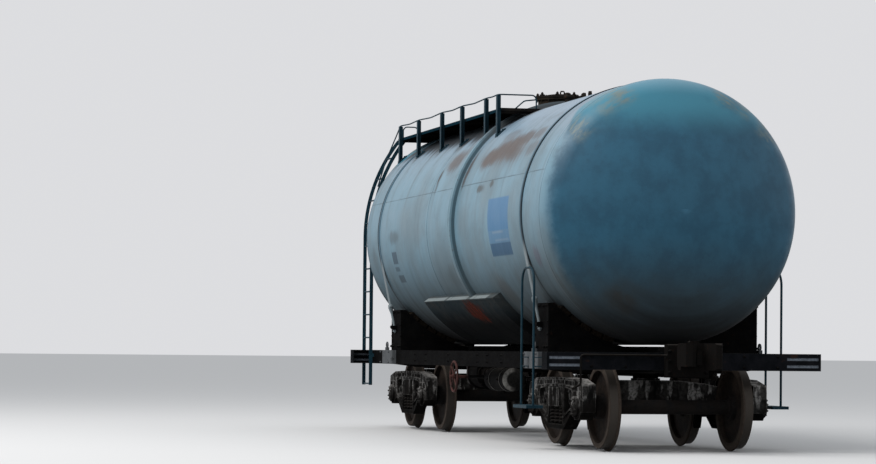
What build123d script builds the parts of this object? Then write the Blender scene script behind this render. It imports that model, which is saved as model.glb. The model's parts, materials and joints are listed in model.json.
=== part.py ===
from build123d import *
from math import acos, asin, atan2, cos, degrees, hypot, pi, radians, sin, sqrt
import os

# Four-axle railway tank car. X runs along the car, Y across it, Z up, in millimetres.
# The origin lies under the middle of the car, level with the lowest points of the wheel flanges.

# Fits
SEAT = 0.3
RUN_GAP = 6.0
WELD_GAP = 4.0

# Wheelsets
TREAD_R = 478.5
FLANGE = 28.0
BACK_TO_BACK = 1440.0
RIM_WIDTH = 130.0
RIM_DEPTH = 72.0
FLANGE_WIDTH = 32.0
HUB_R = 132.0
HUB_OUT = 45.0
WEB_THICK = 24.0
AXLE_R = 82.5
WHEEL_SEAT_R = 97.0
JOURNAL_R = 65.0
JOURNAL_SPACING = 2036.0
JOURNAL_LENGTH = 212.0

RAIL = FLANGE
AXLE_Z = RAIL + TREAD_R

# Bogies
BASE = 7800.0
WHEELBASE = 1850.0
FRAME_WIDTH = 160.0
FRAME_TOP = RAIL + 805.0
FRAME_BOTTOM = RAIL + 205.0
FRAME_RIB = 26.0
FRAME_RECESS = 22.0
SPRING_SHELF = RAIL + 262.0
WINDOW_TOP = RAIL + 700.0
WINDOW_HALF = 300.0
COLUMN = 62.0
BELLY_OUT = 45.0
JAW_HALF = 150.0
JAW_LEG = 70.0
JAW_TOP = RAIL + 655.0
JAW_BOTTOM = RAIL + 415.0
NOSE_DROP = 75.0
SPRING_R = 86.0
SPRING_WIRE_R = 14.0
SPRING_TURNS = 5
SPRING_PITCH = 192.0
SPRING_TOP = RAIL + 470.0
WEDGE_HEIGHT = 190.0
BOLSTER_HALF = 215.0
BOLSTER_TOP = RAIL + 775.0
BOLSTER_BELLY = RAIL + 430.0
BOLSTER_END_TOP = RAIL + 692.0
BOLSTER_CROWN = 330.0
BOWL_R = 151.5
BOWL_RIM = 20.0
BOWL_DEPTH = 25.0
BEARER_Y = 762.0
BEARER_TOP = RAIL + 838.0
BOX_DROP = 150.0
BOX_FRONT_R = 122.0
BOX_COVER = 42.0
SHOE_THICK = 52.0
SHOE_WIDTH = 84.0
SHOE_SWEEP = 44.0
BRAKE_BEAM_R = 30.0
BRAKE_BEAM_DROP = 60.0
HANGER_R = 13.0
HANGER_TOP = RAIL + 735.0

# Underframe
COUPLED_LENGTH = 12020.0
COUPLER_REACH = 610.0
END_BEAM_X = COUPLED_LENGTH / 2 - COUPLER_REACH
END_BEAM_DEPTH = 200.0
END_BEAM_HALF_WIDTH = 1620.0
GROOVE_LENGTH = 360.0
GROOVE_HALF = 12.0
GROOVE_DEPTH = 8.0
SILL_BOTTOM = RAIL + 862.0
SILL_TOP = RAIL + 1170.0
SILL_WEB_Y = 175.0
SILL_WEB = 12.0
SILL_FLANGE = 110.0
SIDE_BOTTOM = RAIL + 905.0
SIDE_TOP = RAIL + 1100.0
SIDE_Y = 1350.0
SIDE_FLANGE = 80.0
SIDE_WEB = 10.0
BOLSTER_BEAM_HALF = 290.0
BOLSTER_END_LENGTH = 600.0
BOLSTER_END_SHIFT = 60.0
BOLSTER_END_Y = 1420.0
CENTRE_PLATE_FLANGE = 18.0
PLATE = 10.0
CROSS_HALF = 50.0
CROSS_RISE = 30.0
CROSS_DROP = 20.0
CROSS_X = (-2350.0, -1700.0, -400.0, 1150.0, 1650.0, 2350.0)

# Tank
TANK_R = 1533.0
TANK_CLEAR = 19.0
TANK_Z = SILL_TOP + TANK_CLEAR + TANK_R
HEAD_DEPTH = 685.0
KNUCKLE_R = 350.0
END_CLEAR = 15.0
TANK_HALF = END_BEAM_X - END_CLEAR - HEAD_DEPTH
CROWN = TANK_Z + TANK_R
RING_X = 560.0
RING_WIDTH = 170.0
RING_HEIGHT = 65.0

# Tank supports
SADDLE_Y = 1272.0
SADDLE_HALF = 300.0
SADDLE_SHELF = 158.8185
SADDLE_TOP = TANK_Z - sqrt(TANK_R ** 2 - (SADDLE_Y - SADDLE_SHELF) ** 2)
SADDLE_CAP = 180.0
SADDLE_LIP = 32.0
BLOCK_THICK = 62.0
BLOCK_COUNT = 5
BLOCK_INSET = 25.0
BLOCK_LAST_ANGLE = 73.0
STRAP_WIDTH = 100.0
STRAP_THICK = 10.0
LUG_DROP = 218.0
LUG_Y = SADDLE_Y + 30.295
LUG_Z = SADDLE_TOP - LUG_DROP
ROD_LENGTH = 240.0
TENSION_R = 17.0
LUG_HALF = 60.0
LUG_OUT = 45.0
FOOT_X = 1200.0
FOOT_HALF = 110.0
FOOT_WIDTH = 90.0
JACKET_HALF = 1870.0
JACKET_STANDOFF = 116.0
JACKET_TOP_ANGLE = 35.7
JACKET_BOTTOM_ANGLE = 68.0
JACKET_THICK = 8.0

# Walkways
DECK_TOP = CROWN - 75.0
DECK_OUT = 1020.0
DECK_LIP = 40.0
DECK_PLATE = 6.0
DECK_NEAR_X = 975.0
FIRST_POST = 690.0
POST_X = (FIRST_POST - END_BEAM_X, -3540.0, -2120.0, -970.0, 325.0, 947.0)
POST_SIZE = 63.0
POST_THICK = 7.0
POST_TOP = DECK_TOP + 160.0
POST_FOOT = 12.0
POST_FOOT_LENGTH = 115.0
RAIL_R = 9.0
RAIL_SAG = 0.03
RAIL_BEND = 60.0
RAIL_END_Y = 560.0
GRIP_LEGS = (1000.0, 780.0)
GRIP_INSET = 60.0
ARCH_X = -450.0
ARCH_FOOT_Y = 600.0
ARCH_SHOULDER_Y = 340.0
ARCH_SHOULDER = DECK_TOP + 218.0
ARCH_TOP = DECK_TOP + 258.0

# Ladders
LADDER_OUT = 100.0
LADDER_WIDTH = 470.0
LADDER_X = (-END_BEAM_X - LADDER_OUT, -END_BEAM_X - LADDER_OUT + LADDER_WIDTH)
LADDER_Y = 1397.0
LADDER_BAR = 50.0
LADDER_BAR_THICK = 12.0
LADDER_BOTTOM = RAIL + 590.0
LADDER_BEND_Z = TANK_Z + 28.0
LADDER_BEND_R = 2325.0
LADDER_RAIL_LOW = TANK_Z + 758.0
LADDER_RAIL_MID = TANK_Z + 1138.0
LADDER_RAIL_OFF = 40.0
RUNG_START = 20.0
RUNG_PITCH = 335.0
RUNG_R = 11.0

# Corner handrails
HANDRAIL_X = (3870.0, 4400.0)
HANDRAIL_Y = 1500.0
HANDRAIL_TOP = RAIL + 2070.0
HANDRAIL_R = 14.0
HANDRAIL_BEND = 180.0
STEP_Z = RAIL + 480.0
STEP_LIP = 30.0
STEP_THICK = 10.0
STEP_IN = 110.0
STEP_OUT = 90.0

# Hatch and top fittings
HATCH_X = 80.0
HATCH_R = 285.0
HATCH_WALL = 12.0
HATCH_TOP = CROWN + 137.0
HATCH_FLANGE = 28.0
LID_R = 325.0
LID_THICK = 22.0
LID_CROWN = 38.0
LID_RIM = 55.0
HINGE_OUT = 22.0
HINGE_X = HATCH_X - LID_R - HINGE_OUT
HINGE_Z = HATCH_TOP + LID_THICK / 2
LID_PIN_R = 8.0
EAR_Y = 70.0
EAR_HALF = 12.0
EYE_X = (1210.0, 1475.0)
EYE_HALF = 45.0
EYE_HEIGHT = 125.0
EYE_THICK = 28.0
EYE_HOLE_R = 24.0
EYE_HOLE_RISE = 75.0

# Bottom outlet
OUTLET_R = 110.0
OUTLET_LOW = RAIL + 560.0
OUTLET_FLANGE = 45.0
OUTLET_RIM = 18.0
OUTLET_RIM_Z = OUTLET_LOW + 90.0
OUTLET_CAP = 12.0
OUTLET_CLEAR = 30.0

# Brakes
AIR_X = (900.0, 1900.0)
AIR_Y = -1060.0
AIR_Z = RAIL + 750.0
AIR_R = 145.0
AIR_DISH = 45.0
AIR_BAND = 8.0
AIR_BAND_HALF = 25.0
AIR_HANGER_X = CROSS_X[3:5]
CYLINDER_X = (-1500.0, -950.0)
CYLINDER_Y = -620.0
CYLINDER_R = 190.0
CYLINDER_Z = SILL_BOTTOM - 60.0
VALVE_X = CROSS_X[2]
VALVE_Y = -820.0
VALVE_Z = SIDE_BOTTOM - 95.0
WHEEL_X = 545.0
WHEEL_Y = -1500.0
WHEEL_Z = RAIL + 772.0
WHEEL_R = 190.0
WHEEL_RIM_R = 14.0
SHAFT_END = -900.0
RIG_Y = -235.0
RIG_Z = SILL_BOTTOM - 132.0
RIG_END = 2150.0
RIG_ROD_R = 17.0
TIE_Y = -385.0
LEVER_X = (CYLINDER_X[0] - 60.0, CYLINDER_X[1] + 420.0)
PIPE_Y = 330.0
PIPE_R = 21.0
PIPE_Z = SILL_BOTTOM - PIPE_R - 12.0
COCK_OUT = 35.0
COCK_R = 36.0
UNION_OUT = 100.0
NIPPLE_R = 17.0
NIPPLE_LENGTH = 60.0

# Couplers and end fittings
COUPLER_Z = RAIL + 1060.0
HEAD_HALF = 150.0
SHANK_HALF = 65.0
SHANK_HALF_HEIGHT = 88.0
STRIKER_OUT = 95.0
STRIKER_HALF = 250.0
CRADLE = 40.0
RELEASE_OUT = 60.0
RELEASE_Y = 272.0
RELEASE_HANDLE_Y = 1240.0
RELEASE_HOLD_Y = (1180.0, 400.0)
RELEASE_R = 12.5
TOWING_SHIFT = 90.0
TOWING_OUT = 30.0
TOWING_R = 38.0
TOWING_BAR_R = 12.0

ENDS = (-1, 1)
SIDES = (-1, 1)


def block(x0, x1, y0, y1, z0, z1):
    """A plain box between two corners given in any order."""
    size = (abs(x1 - x0), abs(y1 - y0), abs(z1 - z0))
    return Pos((x0 + x1) / 2, (y0 + y1) / 2, (z0 + z1) / 2) * Box(*size)


def rod(start, end, radius):
    """A round bar from one point to another."""
    line = Edge.make_line(start, end)
    return Solid.extrude(Face(Wire.make_circle(radius, Plane(origin=start, z_dir=line % 0))),
                         Vector(*end) - Vector(*start))


def pipe(points, bend, radius):
    """A round bar along straight runs joined by tangent arcs."""
    path = FilletPolyline(*points, radius=bend)
    return sweep(Plane(origin=path @ 0, z_dir=path % 0) * Circle(radius), path=path)


def drum(x, y, z, radius, length, axis=(0, 0, 0)):
    """A cylinder about a centre, turned from upright by the angles in axis."""
    return Pos(x, y, z) * Rot(*axis) * Cylinder(radius, length)


LENGTHWISE = (0, 90, 0)
CROSSWISE = (90, 0, 0)


def wheel_like(profile):
    """A solid of revolution about the Y axis from (radius, y) points."""
    face = make_face(Polyline(*[(r, y) for r, y in profile], close=True))
    return revolve(face, Axis.Y, 360)


def across(shape):
    """The same shape on the other side of the car."""
    return mirror(shape, Plane.XZ)


def both_sides(shape):
    return [shape, across(shape)]


def turned(shape):
    """The same shape after half a turn about the vertical axis."""
    return Rot(0, 0, 180) * shape


def upright(face_2d, x0, x1):
    """A (y, z) profile carried along X from x0 to x1."""
    plane = Plane(origin=(x0, 0, 0), x_dir=(0, 1, 0), z_dir=(1, 0, 0))
    return extrude(plane * face_2d, amount=x1 - x0)


def sideways(face_2d, y0, y1):
    """An (x, z) profile carried along Y from y0 to y1."""
    plane = Plane(origin=(0, y1, 0), x_dir=(1, 0, 0), z_dir=(0, -1, 0))
    return extrude(plane * face_2d, amount=y1 - y0)


def polygon(points):
    return make_face(Polyline(*points, close=True))


def tank_height(y, radius=TANK_R):
    """Height of the tank's lower surface at a distance y from the middle."""
    return TANK_Z - sqrt(radius ** 2 - y ** 2)


def tank_top(y, radius=TANK_R):
    return TANK_Z + sqrt(radius ** 2 - y ** 2)


def tank_reach(z, radius=TANK_R):
    """Distance from the middle to the tank's surface at a height z."""
    return sqrt(radius ** 2 - (z - TANK_Z) ** 2)


def tank_drum(gap):
    """The tank's barrel grown by a gap, for trimming what stands on it."""
    return drum(0, 0, TANK_Z, TANK_R + gap, 2 * END_BEAM_X, LENGTHWISE)


def save(name, solids):
    """Write one node; its solids don't touch each other."""
    flat = []
    for shape in solids:
        flat.extend(shape.solids())
    export_step(Compound(children=flat, label=name), f"parts/{name}.step")


# Tank

def tank_shell():
    crown_r = ((TANK_R - KNUCKLE_R) ** 2 + HEAD_DEPTH ** 2 - KNUCKLE_R ** 2) / (2 * (HEAD_DEPTH - KNUCKLE_R))
    tip = TANK_HALF + HEAD_DEPTH
    crown_x = tip - crown_r
    knuckle = (TANK_HALF, TANK_R - KNUCKLE_R)
    lean = atan2(knuckle[1], knuckle[0] - crown_x)
    join = (crown_x + crown_r * cos(lean), crown_r * sin(lean))
    half_lean = lean / 2
    mid_crown = (crown_x + crown_r * cos(half_lean), crown_r * sin(half_lean))
    mid_angle = (lean + pi / 2) / 2
    mid_knuckle = (knuckle[0] + KNUCKLE_R * cos(mid_angle), knuckle[1] + KNUCKLE_R * sin(mid_angle))
    outline = [
        Line((-tip, 0), (tip, 0)),
        ThreePointArc((tip, 0), mid_crown, join),
        ThreePointArc(join, mid_knuckle, (TANK_HALF, TANK_R)),
        Line((TANK_HALF, TANK_R), (-TANK_HALF, TANK_R)),
        ThreePointArc((-TANK_HALF, TANK_R), (-mid_knuckle[0], mid_knuckle[1]), (-join[0], join[1])),
        ThreePointArc((-join[0], join[1]), (-mid_crown[0], mid_crown[1]), (-tip, 0)),
    ]
    return Pos(0, 0, TANK_Z) * revolve(make_face(outline), Axis.X, 360)


def band(inner_r, outer_r, x0, x1):
    """A full ring round the tank."""
    middle = (x0 + x1) / 2
    ring = drum(middle, 0, TANK_Z, outer_r, x1 - x0, LENGTHWISE)
    return ring - drum(middle, 0, TANK_Z, inner_r, x1 - x0 + 2, LENGTHWISE)


def stiffening_ring():
    """Pressed ring over the tank, its ends seated on the side jackets."""
    foot = RING_WIDTH / 2
    crown = foot - RING_HEIGHT * 0.45
    inner = TANK_R + SEAT
    outer = inner + RING_HEIGHT
    face = polygon([(RING_X - foot, inner), (RING_X + foot, inner),
                    (RING_X + crown, outer), (RING_X - crown, outer)])
    below = JACKET_TOP_ANGLE - degrees(SEAT / TANK_R)
    start = Rot(-below, 0, 0) * face
    return Pos(0, 0, TANK_Z) * revolve(start, Axis.X, 180 + 2 * below)


def dome_middle(radius, rise):
    """(radius, height) of a point halfway along a shallow dome's arc, from its rim to its top."""
    sphere = (radius ** 2 + rise ** 2) / (2 * rise)
    lean = asin(radius / sphere) / 2
    return sphere * sin(lean), rise - sphere * (1 - cos(lean))


def side_jacket():
    """Curved shroud on the tank's lower side, closed at its top, bottom and ends."""
    outer = TANK_R + JACKET_STANDOFF
    shroud = band(TANK_R + SEAT, outer, -JACKET_HALF, JACKET_HALF)
    hollow = band(TANK_R, outer - JACKET_THICK, -JACKET_HALF + JACKET_THICK, JACKET_HALF - JACKET_THICK)
    reach = outer * 1.2
    top = radians(-JACKET_TOP_ANGLE)
    bottom = radians(-JACKET_BOTTOM_ANGLE)

    def wedge(first, last, trim):
        points = [(0, TANK_Z), (-reach * cos(first), TANK_Z + reach * sin(first)),
                  (-reach * cos(last), TANK_Z + reach * sin(last))]
        return upright(polygon(points), -JACKET_HALF + trim, JACKET_HALF - trim)

    edge = JACKET_THICK / outer
    shell = shroud & wedge(top, bottom, 0)
    inside = hollow & wedge(top - edge, bottom + edge, JACKET_THICK)
    return shell - inside


def strap_tangent():
    """Angle below the horizontal at which a strap leaves the tank, and its length from there to the lug."""
    mid = TANK_R + SEAT + STRAP_THICK / 2
    down = TANK_Z - LUG_Z
    reach = hypot(LUG_Y, down)
    return atan2(down, LUG_Y) - acos(mid / reach), sqrt(reach ** 2 - mid ** 2)


def strap(x):
    """Hold-down strap over the tank, its straight ends and their tension rods."""
    inner = TANK_R + SEAT
    outer = inner + STRAP_THICK
    mid = (inner + outer) / 2
    leave, drop = strap_tangent()
    band_end = drop - ROD_LENGTH

    def at(radius, run, side):
        y = -radius * cos(leave) + run * sin(leave)
        return (side * -y, TANK_Z - radius * sin(leave) - run * cos(leave))

    face = make_face([
        Line(at(outer, band_end, -1), at(outer, 0, -1)),
        ThreePointArc(at(outer, 0, -1), (0, TANK_Z + outer), at(outer, 0, 1)),
        Line(at(outer, 0, 1), at(outer, band_end, 1)),
        Line(at(outer, band_end, 1), at(inner, band_end, 1)),
        Line(at(inner, band_end, 1), at(inner, 0, 1)),
        ThreePointArc(at(inner, 0, 1), (0, TANK_Z + inner), at(inner, 0, -1)),
        Line(at(inner, 0, -1), at(inner, band_end, -1)),
        Line(at(inner, band_end, -1), at(outer, band_end, -1)),
    ])
    shape = upright(face, x - STRAP_WIDTH / 2, x + STRAP_WIDTH / 2)
    for side in SIDES:
        y0, z0 = at(mid, band_end - STRAP_WIDTH * 0.3, side)
        y1, z1 = at(mid, drop, side)
        shape += rod((x, y0, z0), (x, y1, z1), TENSION_R)
    return shape


def saddle(x):
    """One side of a tank support: webs cut to the tank's curve, outer plate, bearing plate and lug."""
    bearing = TANK_R + SEAT * 2 + BLOCK_THICK
    cut = drum(x, 0, TANK_Z, bearing, 2 * SADDLE_HALF + 100, LENGTHWISE)
    inner_y = SILL_WEB_Y + SILL_FLANGE
    low = x - SADDLE_HALF
    high = x + SADDLE_HALF
    shape = block(low, high, -SADDLE_Y, -SADDLE_Y + PLATE, SIDE_TOP, SADDLE_TOP)
    for middle in (low + PLATE / 2, x, high - PLATE / 2):
        shape += block(middle - PLATE / 2, middle + PLATE / 2, -SADDLE_Y, -inner_y, SIDE_TOP, SADDLE_TOP)
    shape += block(low, high, -SADDLE_Y, -SADDLE_Y + SADDLE_CAP, SADDLE_TOP - PLATE, SADDLE_TOP)
    shape -= cut
    plate = band(bearing, bearing + PLATE, low, high)
    shape += plate & block(low, high, -SADDLE_Y, -inner_y, SIDE_TOP, SADDLE_TOP)
    shape += block(low - PLATE, high + PLATE, -SADDLE_Y - PLATE, -SADDLE_Y, SADDLE_TOP - SADDLE_LIP,
                   SADDLE_TOP)
    top = LUG_Z - TENSION_R * sin(strap_tangent()[0]) - SEAT
    lug = block(x - LUG_HALF, x + LUG_HALF, -LUG_Y - LUG_OUT, -SADDLE_Y, top - LUG_HALF, top)
    return shape + chamfer(lug.edges().filter_by(Axis.X).sort_by(Axis.Z)[0], LUG_HALF / 2)


def saddle_blocks(x):
    """Timber packing between a saddle's bearing plate and the tank."""
    inner = TANK_R + SEAT
    outer = inner + BLOCK_THICK
    first = degrees(asin((TANK_Z - SADDLE_TOP) / inner)) + 1.5
    step = (BLOCK_LAST_ANGLE - first) / BLOCK_COUNT

    def at(radius, angle):
        return (-radius * cos(angle), TANK_Z - radius * sin(angle))

    blocks = []
    for index in range(BLOCK_COUNT):
        start = radians(first + index * step)
        stop = radians(first + (index + 0.86) * step)
        mid = (start + stop) / 2
        face = make_face([
            Line(at(inner, start), at(outer, start)),
            ThreePointArc(at(outer, start), at(outer, mid), at(outer, stop)),
            Line(at(outer, stop), at(inner, stop)),
            ThreePointArc(at(inner, stop), at(inner, mid), at(inner, start)),
        ])
        blocks.append(upright(face, x - SADDLE_HALF + BLOCK_INSET, x + SADDLE_HALF - BLOCK_INSET))
    return blocks


def centre_foot(x):
    """Pad under the middle of the tank, standing on the centre sill's top."""
    radius = TANK_R + SEAT
    outer = SILL_WEB_Y + SILL_WEB / 2
    inner = outer - FOOT_WIDTH
    middle = (inner + outer) / 2
    face = make_face([
        Line((-inner, SILL_TOP), (-outer, SILL_TOP)),
        Line((-outer, SILL_TOP), (-outer, tank_height(outer, radius))),
        ThreePointArc((-outer, tank_height(outer, radius)), (-middle, tank_height(middle, radius)),
                      (-inner, tank_height(inner, radius))),
        Line((-inner, tank_height(inner, radius)), (-inner, SILL_TOP)),
    ])
    return upright(face, x - FOOT_HALF, x + FOOT_HALF)


# Underframe

def centre_sill():
    """One of the two Z sections of the centre sill: upper flange to the middle, lower flange turned out."""
    outer = SILL_WEB_Y + SILL_WEB / 2
    inner = outer - SILL_WEB
    section = [(-SEAT, SILL_TOP), (-outer, SILL_TOP), (-outer, SILL_BOTTOM + SILL_WEB),
               (-outer - SILL_FLANGE, SILL_BOTTOM + SILL_WEB), (-outer - SILL_FLANGE, SILL_BOTTOM),
               (-inner, SILL_BOTTOM), (-inner, SILL_TOP - SILL_WEB), (-SEAT, SILL_TOP - SILL_WEB)]
    sill = upright(polygon(section), -END_BEAM_X, END_BEAM_X)
    return sill - drum(0, 0, SILL_TOP, OUTLET_R + OUTLET_CLEAR, 4 * SILL_WEB)


def side_sill():
    """Channel along the car's edge, its flanges turned inwards."""
    inner = SIDE_Y - SIDE_FLANGE
    section = [(-SIDE_Y, SIDE_BOTTOM), (-inner, SIDE_BOTTOM), (-inner, SIDE_BOTTOM + SIDE_WEB),
               (-SIDE_Y + SIDE_WEB, SIDE_BOTTOM + SIDE_WEB), (-SIDE_Y + SIDE_WEB, SIDE_TOP - SIDE_WEB),
               (-inner, SIDE_TOP - SIDE_WEB), (-inner, SIDE_TOP), (-SIDE_Y, SIDE_TOP)]
    length = END_BEAM_X - END_BEAM_DEPTH
    return upright(polygon(section), -length, length)


def end_beam_arm(end):
    """Half of an end beam, with two long grooves pressed into its face."""
    root = SILL_WEB_Y + SILL_WEB / 2
    tip = END_BEAM_HALF_WIDTH
    inside = END_BEAM_X - END_BEAM_DEPTH
    arm = block(end * inside, end * END_BEAM_X, -tip, -root, SIDE_BOTTOM, SIDE_TOP)
    arm -= block(end * (inside - 1), end * (END_BEAM_X - 2 * PLATE), -tip + PLATE, -root - PLATE,
                 SIDE_BOTTOM + PLATE, SIDE_TOP - PLATE)
    height = SIDE_TOP - SIDE_BOTTOM
    for z in (SIDE_BOTTOM + height * 0.26, SIDE_TOP - height * 0.32):
        arm -= block(end * (END_BEAM_X - GROOVE_DEPTH), end * (END_BEAM_X + 1), -tip + 4 * PLATE,
                     -tip + 4 * PLATE + GROOVE_LENGTH, z - GROOVE_HALF, z + GROOVE_HALF)
    return arm


def bolster_beam(end):
    """One side of the body bolster: a box that tapers towards the side sill."""
    root = SILL_WEB_Y + SILL_WEB / 2
    tip = SIDE_Y - SIDE_FLANGE
    flange = root + SILL_FLANGE
    clear = SILL_BOTTOM + SILL_WEB
    face = polygon([(-root, clear), (-flange - 1, clear), (-flange - 1, SILL_BOTTOM),
                    (-BEARER_Y - 150, SILL_BOTTOM), (-tip, SIDE_BOTTOM), (-tip, SIDE_TOP), (-root, SIDE_TOP)])
    x = end * BASE / 2
    return upright(face, x - BOLSTER_BEAM_HALF, x + BOLSTER_BEAM_HALF)


def bolster_end(end):
    """Cap over the body bolster's end, outside the side sill."""
    x = end * BASE / 2 + BOLSTER_END_SHIFT
    half = BOLSTER_END_LENGTH / 2
    cap = block(x - half, x + half, -BOLSTER_END_Y, -SIDE_Y, SIDE_BOTTOM, SIDE_TOP)
    return chamfer(cap.edges().filter_by(Axis.Z).sort_by(Axis.Y)[:2], 1.5 * PLATE)


def cross_member(x):
    """Light channel between the centre sill and the side sill."""
    root = SILL_WEB_Y + SILL_WEB / 2
    tip = SIDE_Y - SIDE_FLANGE
    low = SIDE_BOTTOM + CROSS_RISE
    high = SIDE_TOP - CROSS_DROP
    member = block(x - CROSS_HALF, x + CROSS_HALF, -tip, -root, low, high)
    return member - block(x - CROSS_HALF + PLATE, x + CROSS_HALF + 1, -tip - 1, -root + 1,
                          low + PLATE, high - PLATE)


def body_bearings(end):
    """Centre plate and side pads under the body bolster."""
    x = end * BASE / 2
    seat = BOLSTER_TOP + SEAT
    plate = drum(x, 0, (seat + SILL_BOTTOM) / 2, BOWL_R - 1.5, SILL_BOTTOM - seat)
    half = SILL_WEB_Y + FOOT_WIDTH
    flange = block(x - BOLSTER_HALF, x + BOLSTER_HALF, -half, half,
                   SILL_BOTTOM - CENTRE_PLATE_FLANGE, SILL_BOTTOM)
    pads = []
    for side in SIDES:
        pads.append(block(x - 120, x + 120, side * BEARER_Y - 70, side * BEARER_Y + 70,
                          BEARER_TOP + RUN_GAP, SILL_BOTTOM))
    return [plate + flange] + pads


# Bogies, drawn about X = 0 and then moved to their places

def spring(x, y):
    """Coil spring drawn as its stack of turns."""
    pitch = (SPRING_TOP - SPRING_SHELF) / SPRING_TURNS
    core = SPRING_R - SPRING_WIRE_R * 1.1
    points = [(0, SPRING_SHELF), (core, SPRING_SHELF)]
    for turn in range(SPRING_TURNS):
        z = SPRING_SHELF + (turn + 0.5) * pitch
        points.append((core, z - SPRING_WIRE_R))
        points.append((SPRING_R, z - SPRING_WIRE_R * 0.5))
        points.append((SPRING_R, z + SPRING_WIRE_R * 0.5))
        points.append((core, z + SPRING_WIRE_R))
    points += [(core, SPRING_TOP), (0, SPRING_TOP)]
    plane = Plane(origin=(0, 0, 0), x_dir=(1, 0, 0), z_dir=(0, -1, 0))
    return Pos(x, y, 0) * revolve(plane * polygon(points), Axis.Z, 360)


def side_frame():
    """Cast side frame on the -Y side, with its window, pedestals, side openings and ribbed chords."""
    axle = WHEELBASE / 2
    outer_leg = axle + JAW_HALF + JAW_LEG
    inner_leg = axle - JAW_HALF - JAW_LEG
    shoulder = axle - 120.0
    half = [(WINDOW_HALF + BELLY_OUT, FRAME_BOTTOM), (inner_leg - 45, JAW_BOTTOM - 20),
            (inner_leg, JAW_BOTTOM), (axle - JAW_HALF, JAW_BOTTOM),
            (axle - JAW_HALF, JAW_TOP), (axle + JAW_HALF, JAW_TOP),
            (axle + JAW_HALF, JAW_BOTTOM), (outer_leg - 8, JAW_BOTTOM), (outer_leg, JAW_TOP),
            (outer_leg - 12, FRAME_TOP - NOSE_DROP), (shoulder, FRAME_TOP - 12), (WINDOW_HALF, FRAME_TOP)]
    outline = polygon(half + [(-x, z) for x, z in reversed(half)])
    nose = [v for v in outline.vertices() if v.Y > JAW_TOP + 20 and abs(v.X) > shoulder + 50]
    outline = fillet(nose, JAW_LEG / 2)
    belly = [v for v in outline.vertices() if v.Y < FRAME_BOTTOM + 1]
    outline = fillet(belly, JAW_LEG)
    y0 = -JOURNAL_SPACING / 2 - FRAME_WIDTH / 2
    y1 = -JOURNAL_SPACING / 2 + FRAME_WIDTH / 2
    frame = sideways(outline, y0, y1)
    window = block(-WINDOW_HALF, WINDOW_HALF, y0 - 1, y1 + 1, SPRING_SHELF, WINDOW_TOP)
    corners = window.edges().filter_by(Axis.Y).sort_by(Axis.Z)
    frame -= fillet(corners[2:], (WINDOW_TOP - SPRING_TOP - WEDGE_HEIGHT) * 0.9)
    column = WINDOW_HALF + COLUMN
    sill_z = FRAME_BOTTOM + 165.0
    for side in SIDES:
        opening = polygon([(side * column, sill_z), (side * (inner_leg - 10), JAW_BOTTOM + 60),
                           (side * (inner_leg - 10), JAW_TOP + 10), (side * column, WINDOW_TOP)])
        hole = sideways(opening, y0 - 1, y1 + 1)
        frame -= fillet(hole.edges().filter_by(Axis.Y), 38)
        lower = [(column - 18, FRAME_BOTTOM + 45), (inner_leg - 30, JAW_BOTTOM + 18),
                 (inner_leg - 30, JAW_BOTTOM + 42), (column - 18, sill_z - 28)]
        upper = [(FRAME_RIB, WINDOW_TOP + FRAME_RIB), (WINDOW_HALF, WINDOW_TOP + FRAME_RIB),
                 (inner_leg, JAW_TOP + 2 * FRAME_RIB), (shoulder, JAW_TOP + 2 * FRAME_RIB),
                 (shoulder, FRAME_TOP - 12 - FRAME_RIB), (WINDOW_HALF, FRAME_TOP - FRAME_RIB),
                 (FRAME_RIB, FRAME_TOP - FRAME_RIB)]
        for recess in (lower, upper):
            face = polygon([(side * x, z) for x, z in recess])
            frame -= sideways(face, y0 - 1, y0 + FRAME_RECESS)
    return frame


def axle_box(x):
    """Roller bearing box with its round front cover, bored for the journal."""
    y = JOURNAL_SPACING / 2
    inner = y - FRAME_WIDTH / 2 - 4
    outer = y + FRAME_WIDTH / 2 + 6
    half = JAW_HALF - SEAT
    body = block(x - half, x + half, -outer, -inner, AXLE_Z - BOX_DROP, JAW_TOP)
    body = chamfer(body.edges().filter_by(Axis.Y).sort_by(Axis.Z)[:2], JAW_LEG)
    cover = drum(x, -outer - BOX_COVER / 2, AXLE_Z, BOX_FRONT_R, BOX_COVER, CROSSWISE)
    body += chamfer(cover.edges().sort_by(Axis.Y)[0], PLATE)
    depth = JOURNAL_SPACING / 2 + JOURNAL_LENGTH / 2 + 10
    return body - drum(x, -(inner + depth) / 2, AXLE_Z, JOURNAL_R + SEAT, depth - inner + 2, CROSSWISE)


def bogie_bolster():
    """Cast bolster across the bogie, its bowl and side bearers."""
    end_y = JOURNAL_SPACING / 2 + FRAME_WIDTH / 2 + 24
    flat_y = JOURNAL_SPACING / 2 - FRAME_WIDTH / 2 - 30
    half = [(flat_y - 250, BOLSTER_BELLY), (flat_y, SPRING_TOP), (end_y, SPRING_TOP),
            (end_y, BOLSTER_END_TOP), (flat_y, BOLSTER_END_TOP),
            (BEARER_Y - 120, BOLSTER_TOP - 30), (BOLSTER_CROWN, BOLSTER_TOP)]
    beam = upright(polygon(half + [(-y, z) for y, z in reversed(half)]), -BOLSTER_HALF, BOLSTER_HALF)
    rim = drum(0, 0, BOLSTER_TOP + BOWL_DEPTH / 2 - 5, BOWL_R + BOWL_RIM, BOWL_DEPTH + 10)
    beam += rim - drum(0, 0, BOLSTER_TOP + BOWL_DEPTH / 2, BOWL_R, BOWL_DEPTH + 30)
    for side in SIDES:
        beam += block(-110, 110, side * BEARER_Y - 65, side * BEARER_Y + 65, BOLSTER_END_TOP - 10, BEARER_TOP)
    return beam


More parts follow.
